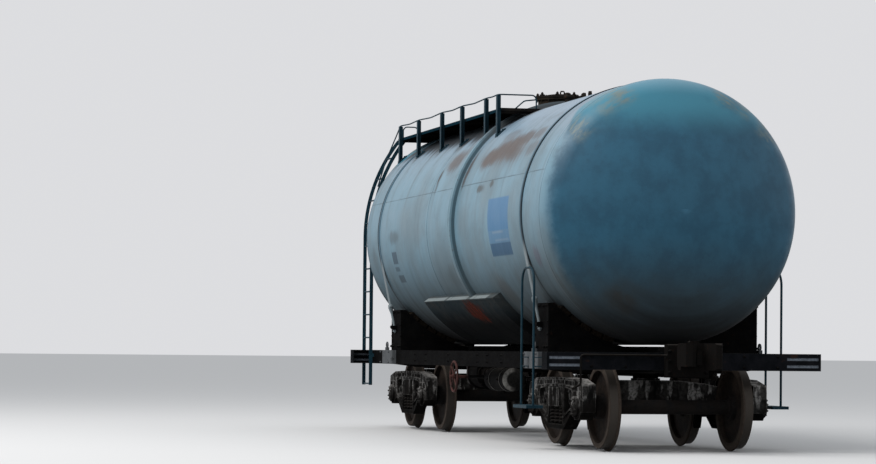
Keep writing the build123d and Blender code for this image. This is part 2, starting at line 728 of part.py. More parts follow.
def wedges():
    """Friction wedges between the bolster's ends and the window's columns."""
    y0 = -JOURNAL_SPACING / 2 - FRAME_WIDTH / 2 + 25
    y1 = -JOURNAL_SPACING / 2 + FRAME_WIDTH / 2 - 25
    top = SPRING_TOP + WEDGE_HEIGHT
    shapes = []
    for side in SIDES:
        near = side * (BOLSTER_HALF + SEAT)
        far = side * (WINDOW_HALF - SEAT)
        face = polygon([(near, SPRING_TOP), (far, SPRING_TOP), (far, top),
                        (far - side * 25, top), (near, top - 100)])
        shapes.append(sideways(face, y0, y1))
    return shapes


def brake_beam(side):
    """Brake beam with a shoe at each wheel and the hangers that carry it."""
    wheel_y = BACK_TO_BACK / 2 + RIM_WIDTH / 2
    shoe_r = TREAD_R + FLANGE + RUN_GAP
    beam_x = WHEELBASE / 2 - shoe_r - SHOE_THICK - BRAKE_BEAM_R + 12
    z = AXLE_Z - BRAKE_BEAM_DROP
    beam = rod((side * beam_x, -wheel_y - 50, z), (side * beam_x, wheel_y + 50, z), BRAKE_BEAM_R)
    pull_x = side * (beam_x - 95)
    reach = shoe_r + SHOE_THICK + 40
    low = radians(-SHOE_SWEEP / 2 - 7)
    high = radians(SHOE_SWEEP / 2 - 7)
    axle_x = WHEELBASE / 2
    slice_face = polygon([(side * axle_x, AXLE_Z),
                          (side * (axle_x - reach * cos(low)), AXLE_Z + reach * sin(low)),
                          (side * (axle_x - reach * cos(high)), AXLE_Z + reach * sin(high))])
    hang_y = wheel_y + 60
    frame_face = JOURNAL_SPACING / 2 - FRAME_WIDTH / 2 - SEAT
    for sy in SIDES:
        outer = drum(side * axle_x, sy * wheel_y, AXLE_Z, shoe_r + SHOE_THICK, SHOE_WIDTH, CROSSWISE)
        inner = drum(side * axle_x, sy * wheel_y, AXLE_Z, shoe_r, SHOE_WIDTH + 6, CROSSWISE)
        half_shoe = SHOE_WIDTH / 2
        beam += (outer - inner) & sideways(slice_face, sy * wheel_y - half_shoe, sy * wheel_y + half_shoe)
        beam += rod((side * beam_x, sy * (wheel_y + 30), z), (side * beam_x, sy * hang_y, z), BRAKE_BEAM_R)
        beam += rod((side * beam_x, sy * hang_y, z), (side * beam_x, sy * hang_y, HANGER_TOP), HANGER_R)
        beam += rod((side * beam_x, sy * (hang_y - 15), HANGER_TOP),
                    (side * beam_x, sy * frame_face, HANGER_TOP), HANGER_R + 4)
        beam += rod((side * beam_x, sy * wheel_y * 0.85, z), (pull_x, 0, z), 16)
    beam += rod((side * beam_x, 0, z), (pull_x - side * 20, 0, z), 20)
    return beam


# Wheelsets

def wheel(x):
    """Solid wheel on the -Y side: hub, dished web, rim, tread and flange."""
    back = -BACK_TO_BACK / 2
    face = back - RIM_WIDTH
    rim_in = TREAD_R - RIM_DEPTH
    hub_in = back + 8
    hub_out = face - HUB_OUT
    mid = (back + face) / 2
    bore = WHEEL_SEAT_R + SEAT
    points = [(bore, hub_in), (HUB_R, hub_in), (HUB_R + 12, mid + 22), (rim_in, mid - 8 + WEB_THICK),
              (rim_in + 8, back), (TREAD_R + FLANGE - 10, back), (TREAD_R + FLANGE, back - 10),
              (TREAD_R + FLANGE - 4, back - 20), (TREAD_R + 3, back - FLANGE_WIDTH), (TREAD_R - 3, face + 8),
              (TREAD_R - 9, face), (rim_in + 8, face), (rim_in, mid - 8), (HUB_R + 6, mid - 12),
              (HUB_R, hub_out), (bore, hub_out)]
    return Pos(x, 0, AXLE_Z) * wheel_like(points)


def axle(x):
    end = JOURNAL_SPACING / 2 + JOURNAL_LENGTH / 2
    seat_in = BACK_TO_BACK / 2 - 16
    seat_out = BACK_TO_BACK / 2 + RIM_WIDTH + HUB_OUT + 4
    journal_in = JOURNAL_SPACING / 2 - JOURNAL_LENGTH / 2 + 10
    half = [(AXLE_R, 0), (AXLE_R, seat_in - 14), (WHEEL_SEAT_R, seat_in), (WHEEL_SEAT_R, seat_out),
            (AXLE_R, seat_out + 4), (AXLE_R, journal_in), (JOURNAL_R, journal_in + 3), (JOURNAL_R, end)]
    points = [(0, -end)] + [(r, -y) for r, y in reversed(half[1:])] + half[1:] + [(0, end)]
    return Pos(x, 0, AXLE_Z) * wheel_like(points)


# Walkways

def deck_end():
    """X of the walkway's ladder end."""
    return LADDER_X[1] + LADDER_BAR_THICK / 2 + SEAT


def trim_deck(shape):
    """Cut a walkway piece free of the tank, its ring and its strap."""
    # Columns: middle, width, height above the tank
    for middle, width, height in ((RING_X, RING_WIDTH, RING_HEIGHT), (-BASE / 2, STRAP_WIDTH, STRAP_THICK)):
        half = width / 2 + WELD_GAP
        shape -= band(WELD_GAP, TANK_R + height + WELD_GAP, middle - half, middle + half)
    return shape - tank_drum(SEAT)


def deck():
    """Walkway beside the tank's crown: plate with its edges turned down."""
    far_x = deck_end()
    inner = tank_reach(DECK_TOP) - 2 * DECK_PLATE
    low = DECK_TOP - DECK_LIP
    shape = block(far_x, DECK_NEAR_X, -DECK_OUT, -inner, DECK_TOP - DECK_PLATE, DECK_TOP)
    shape += block(far_x, DECK_NEAR_X, -DECK_OUT, -DECK_OUT + DECK_PLATE, low, DECK_TOP)
    shape += block(far_x, far_x + DECK_PLATE, -DECK_OUT, -inner, low, DECK_TOP)
    shape += block(DECK_NEAR_X - DECK_PLATE, DECK_NEAR_X, -DECK_OUT, -inner, low, DECK_TOP)
    return trim_deck(shape)


def deck_arm(x):
    """Angle bracket under the walkway, from the tank to the post."""
    top = DECK_TOP - DECK_PLATE
    low = top - POST_SIZE
    edge = -DECK_OUT + DECK_PLATE
    inner = tank_reach(top) - 2 * DECK_PLATE
    half = POST_THICK / 2
    arm = block(x - half, x + half, edge, -inner, low, top)
    arm += block(x + half - POST_SIZE, x + half, edge, -inner, top - POST_THICK, top)
    return trim_deck(arm)


def deck_post(x):
    """Angle post outside the walkway, on a foot plate shaped to the tank."""
    outer = DECK_OUT + POST_SIZE
    low = tank_top(outer) - POST_SIZE / 2
    edge = -DECK_OUT - SEAT
    post = block(x - POST_THICK / 2, x + POST_THICK / 2, -outer, edge, low, POST_TOP)
    post += block(x - POST_THICK / 2, x + POST_SIZE, -outer, -outer + POST_THICK, low, POST_TOP)
    post -= tank_drum(SEAT + POST_FOOT / 2)
    start = x - POST_THICK * 3
    foot = band(TANK_R + SEAT, TANK_R + SEAT + POST_FOOT, start, start + POST_FOOT_LENGTH)
    foot &= block(start, start + POST_FOOT_LENGTH, -outer - POST_THICK, edge + POST_SIZE * 0.7,
                  TANK_Z, POST_TOP)
    return post + foot


def walkway_rail():
    """Bar from the ladder over the post tops, sagging between them, and down to the plate at the near end."""
    y = -DECK_OUT - POST_SIZE / 2
    z = POST_TOP + RAIL_R + SEAT
    stile = LADDER_BEND_R + LADDER_BAR / 2 + RAIL_R + SEAT
    near = LADDER_X[1]

    def beside_ladder(height, stand_off):
        radius = stile + stand_off
        rise = height - LADDER_BEND_Z
        return (near, -(LADDER_Y - LADDER_BEND_R + sqrt(radius ** 2 - rise ** 2)), height)

    points = [beside_ladder(LADDER_RAIL_LOW, 0), beside_ladder(LADDER_RAIL_MID, LADDER_RAIL_OFF),
              (near, y, DECK_TOP + RAIL_BEND / 2), (POST_X[0] - RAIL_BEND / 2, y, z)]
    bends = [8 * RAIL_BEND, 2 * RAIL_BEND, 2 * RAIL_BEND]
    last = POST_X[-1]
    for x, following in zip(POST_X, POST_X[1:]):
        leave = x + POST_SIZE + 2 * RAIL_R
        arrive = following - RAIL_BEND - RAIL_R
        half = (arrive - leave) / 2
        points += [(leave, y, z), (leave + half, y, z - half * RAIL_SAG), (arrive, y, z)]
        bends += [6 * RAIL_BEND, 60 * RAIL_BEND, 6 * RAIL_BEND]
    end_x = last + 2 * RAIL_R
    points += [(end_x, y, z), (end_x, -RAIL_END_Y, z), (end_x, -RAIL_END_Y, DECK_TOP + SEAT)]
    bends += [RAIL_BEND, RAIL_BEND]
    return pipe(points, bends, RAIL_R)


def crown_arch():
    """Grab rail over the tank's crown beside the hatch, from one walkway to the other."""
    side = [(ARCH_FOOT_Y, DECK_TOP - RAIL_R), (ARCH_SHOULDER_Y, ARCH_SHOULDER)]
    profile = [(-y, z) for y, z in side] + [(0, ARCH_TOP)] + list(reversed(side))
    arch = pipe([(ARCH_X, y, z) for y, z in profile], [1.5 * RAIL_BEND, 10 * RAIL_BEND, 1.5 * RAIL_BEND],
                RAIL_R)
    return arch - block(ARCH_X - RAIL_BEND, ARCH_X + RAIL_BEND, -DECK_OUT, DECK_OUT, DECK_TOP - RAIL_BEND,
                        DECK_TOP + SEAT)


def grip():
    """Hand grip on the walkway at the top of the ladder."""
    x = POST_X[0] - GRIP_INSET
    foot = DECK_TOP + SEAT
    outer, inner = GRIP_LEGS
    points = [(x, -outer, foot), (x, -outer, POST_TOP), (x, -inner, POST_TOP), (x, -inner, foot)]
    return pipe(points, RAIL_BEND, RAIL_R)


# Ladders

def ladder_point(run):
    """(y, z) of the ladder's centre line at a distance from its foot."""
    straight = LADDER_BEND_Z - LADDER_BOTTOM
    if run <= straight:
        return LADDER_Y, LADDER_BOTTOM + run
    turn = (run - straight) / LADDER_BEND_R
    return LADDER_Y - LADDER_BEND_R * (1 - cos(turn)), LADDER_BEND_Z + LADDER_BEND_R * sin(turn)


def ladder_stile(x):
    """Flat bar up to the walkway, bent in over the tank."""
    top_turn = asin((DECK_TOP - LADDER_BEND_Z) / LADDER_BEND_R)
    centre = LADDER_Y - LADDER_BEND_R
    half = LADDER_BAR / 2
    outer = LADDER_BEND_R + half
    inner = LADDER_BEND_R - half

    def on(radius, turn):
        return (-(centre + radius * cos(turn)), LADDER_BEND_Z + radius * sin(turn))

    face = make_face([
        Line((-LADDER_Y + half, LADDER_BOTTOM), (-LADDER_Y - half, LADDER_BOTTOM)),
        Line((-LADDER_Y - half, LADDER_BOTTOM), on(outer, 0)),
        ThreePointArc(on(outer, 0), on(outer, top_turn / 2), on(outer, top_turn)),
        Line(on(outer, top_turn), on(inner, top_turn)),
        ThreePointArc(on(inner, top_turn), on(inner, top_turn / 2), on(inner, 0)),
        Line(on(inner, 0), (-LADDER_Y + half, LADDER_BOTTOM)),
    ])
    return upright(face, x - LADDER_BAR_THICK / 2, x + LADDER_BAR_THICK / 2)


def ladder_stiles():
    """The two stiles of one ladder, each with its bracket to the underframe."""
    bar = LADDER_BAR_THICK / 2
    far, near = LADDER_X
    shelf = SIDE_TOP - LADDER_BAR
    outer = ladder_stile(far)
    outer += block(far - bar, -END_BEAM_X - SEAT, -LADDER_Y - bar * 3, -LADDER_Y + bar * 3,
                   shelf - bar * 2, shelf)
    inner = ladder_stile(near)
    inner += block(near - bar, near + bar, -LADDER_Y, -SIDE_Y, shelf - LADDER_BAR, shelf)
    return [outer, inner]


def ladder_rungs():
    """Round rungs seated between the stiles; none lies across the underframe."""
    inset = LADDER_BAR_THICK / 2 + SEAT
    top_turn = asin((DECK_TOP - LADDER_BEND_Z) / LADDER_BEND_R)
    length = LADDER_BEND_Z - LADDER_BOTTOM + LADDER_BEND_R * top_turn
    count = int((length - RUNG_START) // RUNG_PITCH) + 1
    rungs = []
    for index in range(count):
        y, z = ladder_point(RUNG_START + index * RUNG_PITCH)
        if SIDE_BOTTOM - 3 * RUNG_R < z < SIDE_TOP + 3 * RUNG_R:
            continue
        rungs.append(rod((LADDER_X[0] + inset, -y, z), (LADDER_X[1] - inset, -y, z), RUNG_R))
    return rungs


def corner_handrail():
    """Tall grab rail beside the saddle, carried down to a boarding step."""
    first, last = HANDRAIL_X
    points = [(first, -HANDRAIL_Y, STEP_Z), (first, -HANDRAIL_Y, HANDRAIL_TOP),
              (last, -HANDRAIL_Y, HANDRAIL_TOP), (last, -HANDRAIL_Y, STEP_Z)]
    shape = pipe(points, HANDRAIL_BEND, HANDRAIL_R)
    out = HANDRAIL_Y + STEP_OUT
    back = HANDRAIL_Y - STEP_IN
    step = block(first - STEP_LIP, last + STEP_LIP, -out, -back, STEP_Z - STEP_LIP, STEP_Z + STEP_THICK / 2)
    inset = STEP_LIP - STEP_THICK
    step -= block(first - inset, last + inset, -out + STEP_THICK, -back - STEP_THICK, STEP_Z - STEP_LIP - 1,
                  STEP_Z - STEP_THICK / 2)
    shape += step
    half = HANDRAIL_R * 1.8
    for x in HANDRAIL_X:
        reach = BOLSTER_END_Y if x < BASE / 2 + BOLSTER_END_SHIFT + BOLSTER_END_LENGTH / 2 else SIDE_Y
        for z in (SIDE_TOP - 5 * HANDRAIL_R, SIDE_BOTTOM + 1.5 * HANDRAIL_R):
            shape += block(x - half, x + half, -HANDRAIL_Y, -reach - SEAT, z, z + STEP_THICK)
    return shape


# Top fittings

def hatch_neck():
    """Short round neck with its seat flange, hinge ears and hinge pin, on the tank's crown."""
    base = CROWN - 60
    middle = (base + HATCH_TOP) / 2
    neck = drum(HATCH_X, 0, middle, HATCH_R, HATCH_TOP - base)
    neck += drum(HATCH_X, 0, HATCH_TOP - HATCH_FLANGE / 2, LID_R - 8, HATCH_FLANGE)
    neck -= drum(HATCH_X, 0, middle, HATCH_R - HATCH_WALL, HATCH_TOP - base + 2)
    neck -= tank_drum(SEAT)
    for side in SIDES:
        y0 = side * EAR_Y - EAR_HALF
        y1 = side * EAR_Y + EAR_HALF
        low = HATCH_TOP - 2 * EAR_HALF
        neck += block(HINGE_X - 20, HATCH_X - HATCH_R - 5, y0, y1, low, HATCH_TOP - 2)
        neck += block(HINGE_X - 20, HINGE_X + 19, y0, y1, low, HINGE_Z + 2 * LID_PIN_R + 1)
    neck += rod((HINGE_X, -EAR_Y, HINGE_Z), (HINGE_X, EAR_Y, HINGE_Z), LID_PIN_R)
    return neck


def hatch_lid():
    """Domed lid with its hinge knuckle between the neck's ears."""
    low = HATCH_TOP + SEAT
    top = low + LID_THICK
    dome = LID_R - LID_RIM
    mid_r, mid_rise = dome_middle(dome, LID_CROWN)
    outline = make_face([
        Line((0, low), (LID_R, low)),
        Line((LID_R, low), (LID_R, top)),
        Line((LID_R, top), (dome, top)),
        ThreePointArc((dome, top), (mid_r, top + mid_rise), (0, top + LID_CROWN)),
        Line((0, top + LID_CROWN), (0, low)),
    ])
    plane = Plane(origin=(0, 0, 0), x_dir=(1, 0, 0), z_dir=(0, -1, 0))
    lid = Pos(HATCH_X, 0, 0) * revolve(plane * outline, Axis.Z, 360)
    half = EAR_Y - EAR_HALF - RUN_GAP
    lid += block(HINGE_X - 10, HATCH_X - LID_R + 30, -half, half, HINGE_Z - 9, HINGE_Z + 9)
    lid += drum(HINGE_X, 0, HINGE_Z, LID_PIN_R + 7, 2 * half, CROSSWISE)
    return lid - drum(HINGE_X, 0, HINGE_Z, LID_PIN_R + SEAT, 2 * half + 20, CROSSWISE)


def top_valves():
    """Safety valve and two smaller valves on the tank's crown, with their flanges."""
    base = CROWN + SEAT
    shapes = []
    # Columns: x, y, radius, height
    valves = ((-640.0, 0.0, 78.0, 165.0), (830.0, -90.0, 70.0, 118.0), (830.0, 130.0, 48.0, 95.0))
    for x, y, radius, height in valves:
        low = tank_top(abs(y) + radius) - 10
        top = base + height
        body = drum(x, y, (low + top) / 2, radius * 0.7, top - low)
        body += drum(x, y, base + 12, radius, 24)
        cap = drum(x, y, top - 15, radius, 30)
        body += chamfer(cap.edges().sort_by(Axis.Z)[-1], 12)
        shapes.append(body - tank_drum(SEAT))
    return shapes


def lifting_eye(x):
    """Upright plate eye on the tank's crown."""
    base = CROWN + SEAT
    eye = block(x - EYE_HALF, x + EYE_HALF, -EYE_THICK / 2, EYE_THICK / 2, base, base + EYE_HEIGHT)
    eye = fillet(eye.edges().filter_by(Axis.Y).sort_by(Axis.Z)[-2:], EYE_HALF * 0.9)
    return eye - drum(x, 0, base + EYE_HOLE_RISE, EYE_HOLE_R, 2 * EYE_THICK, CROSSWISE)


# Bottom works

def outlet():
    """Bottom outlet: pipe through the centre sill, bolted flanges, outlet rim, cap and its screw bar."""
    pipe_top = TANK_Z - TANK_R - SEAT
    shape = drum(0, 0, (OUTLET_LOW + pipe_top) / 2, OUTLET_R, pipe_top - OUTLET_LOW)
    for drop in (40, 66):
        shape += drum(0, 0, SILL_BOTTOM - drop, OUTLET_R + OUTLET_FLANGE, 24)
    shape += drum(0, 0, OUTLET_RIM_Z, OUTLET_R + OUTLET_RIM, 30)
    cap_r = OUTLET_R + OUTLET_CAP
    shape += drum(0, 0, OUTLET_LOW - 16, cap_r, 32)
    shape += block(4 - cap_r, cap_r - 4, -22, 22, OUTLET_LOW - 60, OUTLET_LOW - 32)
    return shape + drum(0, 0, OUTLET_LOW - 80, 16, 60)


def air_reservoir():
    """Air reservoir with dished ends, and the two banded hangers that hold it to cross members."""
    x0, x1 = AIR_X
    mid_r, mid_rise = dome_middle(AIR_R, AIR_DISH)
    steps = [(x1 - AIR_DISH, AIR_R)]
    for x in reversed(AIR_HANGER_X):
        right = x + AIR_BAND_HALF
        left = x - AIR_BAND_HALF
        steps += [(right, AIR_R), (right, AIR_R + AIR_BAND), (left, AIR_R + AIR_BAND), (left, AIR_R)]
    steps.append((x0 + AIR_DISH, AIR_R))
    outline = make_face([
        Line((x0, 0), (x1, 0)),
        ThreePointArc((x1, 0), (x1 - AIR_DISH + mid_rise, mid_r), (x1 - AIR_DISH, AIR_R)),
        Polyline(*steps),
        ThreePointArc((x0 + AIR_DISH, AIR_R), (x0 + AIR_DISH - mid_rise, mid_r), (x0, 0)),
    ])
    shape = Pos(0, AIR_Y, AIR_Z) * revolve(outline, Axis.X, 360)
    for x in AIR_HANGER_X:
        shape += block(x - 20, x + 20, AIR_Y - 10, AIR_Y + 10, AIR_Z + AIR_R - 20,
                       SIDE_BOTTOM + CROSS_RISE - SEAT)
    return shape


def brake_cylinder():
    """Brake cylinder with its end covers, bracket plate and push rod."""
    near, far = CYLINDER_X
    z = CYLINDER_Z
    shape = drum((near + far) / 2, CYLINDER_Y, z, CYLINDER_R, far - near, LENGTHWISE)
    for x in (near + 15, far - 15):
        shape += drum(x, CYLINDER_Y, z, CYLINDER_R + 22, 30, LENGTHWISE)
    shape += rod((far - 20, CYLINDER_Y, z), (LEVER_X[1] + 20, CYLINDER_Y, z), 22)
    pin_low = RIG_Z + 33 + SEAT
    shape += block(LEVER_X[1] - 14, LEVER_X[1] + 14, CYLINDER_Y - 14, CYLINDER_Y + 14, pin_low, z)
    shape += block(LEVER_X[0] - 14, near + 20, CYLINDER_Y - 14, CYLINDER_Y + 14, pin_low, z)
    inner = SILL_WEB_Y + SILL_WEB / 2
    return shape + block(near + 60, far - 60, CYLINDER_Y, -inner - 20, z + 60, SILL_BOTTOM - SEAT)


def air_distributor():
    """Brake valve under a cross member: working chamber with a flanged valve part on each side."""
    shape = block(VALVE_X - 105, VALVE_X + 105, VALVE_Y - 60, VALVE_Y + 60, VALVE_Z - 70, VALVE_Z + 55)
    shape = fillet(shape.edges().filter_by(Axis.Z), 25)
    # Columns: direction along X, body radius, body length
    for way, radius, length in ((1, 62.0, 120.0), (-1, 74.0, 85.0)):
        face_x = VALVE_X + way * 105
        shape += drum(face_x + way * 9, VALVE_Y, VALVE_Z, radius + 18, 18, LENGTHWISE)
        shape += drum(face_x + way * length / 2, VALVE_Y, VALVE_Z, radius, length, LENGTHWISE)
        shape += drum(face_x + way * length, VALVE_Y, VALVE_Z, radius + 10, 16, LENGTHWISE)
    neck_top = SIDE_BOTTOM + CROSS_RISE - SEAT
    return shape + block(VALVE_X - 40, VALVE_X + 40, VALVE_Y - 50, VALVE_Y + 50, VALVE_Z + 50, neck_top)


def hand_brake():
    """Hand-brake wheel on its shaft, from a bracket under the side sill."""
    x, y, z = WHEEL_X, WHEEL_Y, WHEEL_Z
    shape = Pos(x, y, z) * Rot(*CROSSWISE) * Torus(WHEEL_R, WHEEL_RIM_R)
    shape += drum(x, y, z, 34, 46, CROSSWISE)
    for index in range(4):
        angle = radians(45 + index * 90)
        tip = (x + WHEEL_R * cos(angle), y, z + WHEEL_R * sin(angle))
        shape += rod((x, y, z), tip, 9)
    shape += rod((x, y, z), (x, SHAFT_END, z), 19)
    for hold_y in (-SIDE_Y + 30, SHAFT_END - 50):
        shape += block(x - 30, x + 30, hold_y - 8, hold_y + 8, z - 36, SIDE_BOTTOM - SEAT)
    return shape + block(x - 55, x + 55, SHAFT_END - 60, -SIDE_Y + 20, SIDE_BOTTOM - 12, SIDE_BOTTOM - SEAT)


def brake_rigging():
    """Two horizontal levers, their tie rod, the pull rods and the hangers under the centre sill."""
    shapes = []
    for x, far in zip(LEVER_X, (-RIG_END, RIG_END)):
        lever = block(x - 22, x + 22, CYLINDER_Y - 30, RIG_Y + 30, RIG_Z + 19, RIG_Z + 33)
        pull = rod((x, RIG_Y, RIG_Z), (far, RIG_Y, RIG_Z), RIG_ROD_R)
        lever += pull + rod((x, RIG_Y, RIG_Z), (x, RIG_Y, RIG_Z + 24), 12)
        guard_x = far * 0.92
        for side in SIDES:
            y = RIG_Y + side * 40
            lever += block(guard_x - 20, guard_x + 20, y - 6, y + 6, RIG_Z - 34, SILL_BOTTOM - SEAT)
        lever += block(guard_x - 20, guard_x + 20, RIG_Y - 46, RIG_Y + 46, RIG_Z - 34, RIG_Z - 22)
        lever += block(guard_x - 12, guard_x + 12, RIG_Y - 8, RIG_Y + 8, RIG_Z - 28, RIG_Z - 8)
        shapes.append(lever)
    tie = rod((LEVER_X[0], TIE_Y, RIG_Z), (LEVER_X[1], TIE_Y, RIG_Z), 12)
    for x in LEVER_X:
        tie += rod((x, TIE_Y, RIG_Z), (x, TIE_Y, RIG_Z + 24), 9)
    return shapes[0] + shapes[1] + tie


def brake_pipe():
    """Train pipe under the frame, with an end cock, union and hose nipple at each end."""
    z = PIPE_Z
    cock = END_BEAM_X + COCK_OUT
    union_end = END_BEAM_X + UNION_OUT
    shape = rod((-cock, PIPE_Y, z), (cock, PIPE_Y, z), PIPE_R)
    for end in ENDS:
        x = end * cock
        shape += drum(x, PIPE_Y, z, COCK_R, 80)
        shape += rod((x, PIPE_Y, z), (end * union_end, PIPE_Y, z), PIPE_R + 5)
        shape += rod((end * union_end, PIPE_Y, z), (end * (union_end + NIPPLE_LENGTH), PIPE_Y, z), NIPPLE_R)
        shape += block(x - 12, x + 12, PIPE_Y - 10, PIPE_Y + 130, z + 40, z + 52)
        hold = end * (END_BEAM_X - 60)
        shape += block(hold - 20, hold + 20, PIPE_Y - 30, PIPE_Y + 30, z, SIDE_BOTTOM - SEAT)
    return shape


# Couplers and end fittings

def coupler():
    """Automatic coupler at the +X end: head with its large and small teeth, lock, stop and shank."""
    face_x = COUPLED_LENGTH / 2
    # Plan of the head: distance past the coupling line, distance across
    plan = [(-400, -85), (-330, -190), (-60, -215), (28, -205), (42, -125), (-25, -62), (-118, -40),
            (-132, 62), (-8, 100), (88, 128), (102, 188), (24, 226), (-250, 215), (-350, 130), (-400, 85)]
    # Side view of the head: distance past the coupling line, half height
    profile = [(-400, 90), (-335, 98), (-250, HEAD_HALF), (70, HEAD_HALF), (102, HEAD_HALF - 22)]
    outline = fillet(polygon([(face_x + u, v) for u, v in plan]).vertices(), 12)
    head = Pos(0, 0, COUPLER_Z - HEAD_HALF) * extrude(outline, amount=2 * HEAD_HALF)
    side = [(face_x + u, COUPLER_Z + h) for u, h in profile]
    side += [(face_x + u, COUPLER_Z - h) for u, h in reversed(profile)]
    head &= sideways(polygon(side), -STRIKER_HALF, STRIKER_HALF)
    head -= block(face_x - 135, face_x + 110, -STRIKER_HALF, 0, COUPLER_Z - HEAD_HALF - 10, COUPLER_Z - 110)
    head += block(face_x - 150, face_x - 78, -38, 24, COUPLER_Z - 95, COUPLER_Z + 70)
    stop = block(face_x - 345, face_x - 285, -60, 60, COUPLER_Z + 80, COUPLER_Z + HEAD_HALF + 25)
    head += fillet(stop.edges().filter_by(Axis.X).sort_by(Axis.Z)[-2:], 20)
    shank = block(END_BEAM_X - 520, face_x - 380, -SHANK_HALF, SHANK_HALF, COUPLER_Z - SHANK_HALF_HEIGHT,
                  COUPLER_Z + SHANK_HALF_HEIGHT)
    return head + shank


def striker():
    """Striker casting on the end beam, and the cradle between the sill's webs under the shank."""
    x0 = END_BEAM_X
    x1 = END_BEAM_X + STRIKER_OUT
    low = COUPLER_Z - SHANK_HALF_HEIGHT
    casting = block(x0, x1, -STRIKER_HALF, STRIKER_HALF, SILL_BOTTOM - CRADLE, SILL_TOP + STEP_LIP)
    casting = chamfer(casting.edges().group_by(Axis.X)[-1], 14)
    hole = block(x0 - 1, x1 + 1, -SHANK_HALF - 60, SHANK_HALF + 60, low - 52,
                 COUPLER_Z + SHANK_HALF_HEIGHT + 42)
    casting -= hole
    reach = SILL_WEB_Y - SILL_WEB / 2 - SEAT
    cradle = block(END_BEAM_X - 480, END_BEAM_X - 120, -reach, reach, low - CRADLE, low - SEAT)
    return [casting, cradle]


def release_bar():
    """Uncoupling bar across the end, with its handle at the corner and two brackets."""
    x = END_BEAM_X + RELEASE_OUT
    z = SIDE_TOP - 30
    grip_y = RELEASE_HANDLE_Y
    points = [(x + 150, -RELEASE_Y, z), (x, -RELEASE_Y, z), (x, -grip_y, z), (x, -grip_y, z - 330),
              (x, -grip_y - 100, z - 380)]
    bar = pipe(points, 3 * RELEASE_R, RELEASE_R)
    for y in RELEASE_HOLD_Y:
        bar += block(END_BEAM_X + SEAT, x, -y - 20, -y + 20, z - 8, z + 8)
    return bar


def towing_eye(end):
    """Upright eye on the side sill beside the saddle."""
    x = end * (BASE / 2 + TOWING_SHIFT)
    y = -SIDE_Y - TOWING_OUT
    base = SIDE_TOP
    eye = Pos(x, y, base + TOWING_R + 32) * Rot(*CROSSWISE) * Torus(TOWING_R, TOWING_BAR_R)
    return eye + block(x - 45, x + 45, y - 20, y + 20, base, base + 40)


def save_body():
    """Tank, underframe and fittings, which all ride on the bogies."""
    bogie_x = [end * BASE / 2 for end in ENDS]
    save("tank_shell", [tank_shell()])
    save("stiffening_ring", [stiffening_ring()])
    save("side_jackets", both_sides(side_jacket()))
    save("tank_straps", [strap(x) for x in bogie_x])
    save("tank_saddles", [s for x in bogie_x for s in both_sides(saddle(x))])
    save("saddle_blocks", [s for x in bogie_x for piece in saddle_blocks(x) for s in both_sides(piece)])
    save("centre_feet", [s for x in (-FOOT_X, FOOT_X) for s in both_sides(centre_foot(x))])

    save("centre_sill", both_sides(centre_sill()))
    save("side_sills", both_sides(side_sill()))
    save("end_beams", [s for end in ENDS for s in both_sides(end_beam_arm(end))])
    save("bolster_beams", [s for end in ENDS for s in both_sides(bolster_beam(end))])
    save("bolster_ends", [s for end in ENDS for s in both_sides(bolster_end(end))])
    save("cross_members", [s for x in CROSS_X for s in both_sides(cross_member(x))])
    save("body_bearings", [s for end in ENDS for s in body_bearings(end)])

    save("walkway_decks", both_sides(deck()))
    save("deck_brackets", [s for x in POST_X for s in both_sides(deck_arm(x))])
    save("walkway_posts", [s for x in POST_X for s in both_sides(deck_post(x))])
    save("walkway_rails", both_sides(walkway_rail()))
    save("grab_rails", [crown_arch()] + both_sides(grip()))
    save("side_ladders", [s for stile in ladder_stiles() for s in both_sides(stile)])
    save("ladder_rungs", [s for rung in ladder_rungs() for s in both_sides(rung)])
    save("corner_handrails", both_sides(corner_handrail()))
    save("hatch_neck", [hatch_neck()])
    save("hatch_lid", [hatch_lid()])
    save("top_valves", top_valves())
    save("lifting_eyes", [lifting_eye(x) for x in EYE_X])

    save("bottom_outlet", [outlet()])
    save("air_reservoir", [air_reservoir()])
    save("air_distributor", [air_distributor()])
    save("brake_cylinder", [brake_cylinder()])
    save("brake_rigging", [brake_rigging()])
    save("brake_pipe", [brake_pipe()])
    save("hand_brake", [hand_brake()])

    save("couplers", [coupler(), turned(coupler())])
    save("strikers", [s for piece in striker() for s in (piece, turned(piece))])
    save("uncoupling_levers", [release_bar(), turned(release_bar())])
    save("towing_eyes", [s for end in ENDS for s in both_sides(towing_eye(end))])


def save_bogie(end, label, first_axle):
    """One bogie and its two wheelsets."""
    place = Pos(end * BASE / 2, 0, 0)
    save(f"side_frames_{label}", [place * s for s in both_sides(side_frame())])
    save(f"bogie_bolster_{label}", [place * bogie_bolster()])
    springs = []
    for offset in (-1, 0, 1):
        springs += both_sides(spring(offset * SPRING_PITCH, -JOURNAL_SPACING / 2))
    save(f"springs_{label}", [place * s for s in springs])
    save(f"friction_wedges_{label}", [place * s for piece in wedges() for s in both_sides(piece)])
    boxes = []
    for side in SIDES:
        boxes += both_sides(axle_box(side * WHEELBASE / 2))
    save(f"axle_boxes_{label}", [place * s for s in boxes])
    save(f"brake_beams_{label}", [place * brake_beam(side) for side in SIDES])
    for index, side in enumerate(SIDES):
        x = end * (BASE / 2 - side * WHEELBASE / 2)
        save(f"wheels_{first_axle + index}", both_sides(wheel(x)))
        save(f"axle_{first_axle + index}", [axle(x)])


def main():
    os.makedirs("parts", exist_ok=True)
    save_body()
    save_bogie(1, "front", 1)
    save_bogie(-1, "rear", 3)


main()
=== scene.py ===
import json
from math import cos, pi, radians, sin, sqrt

import bpy
from mathutils import Matrix, Vector


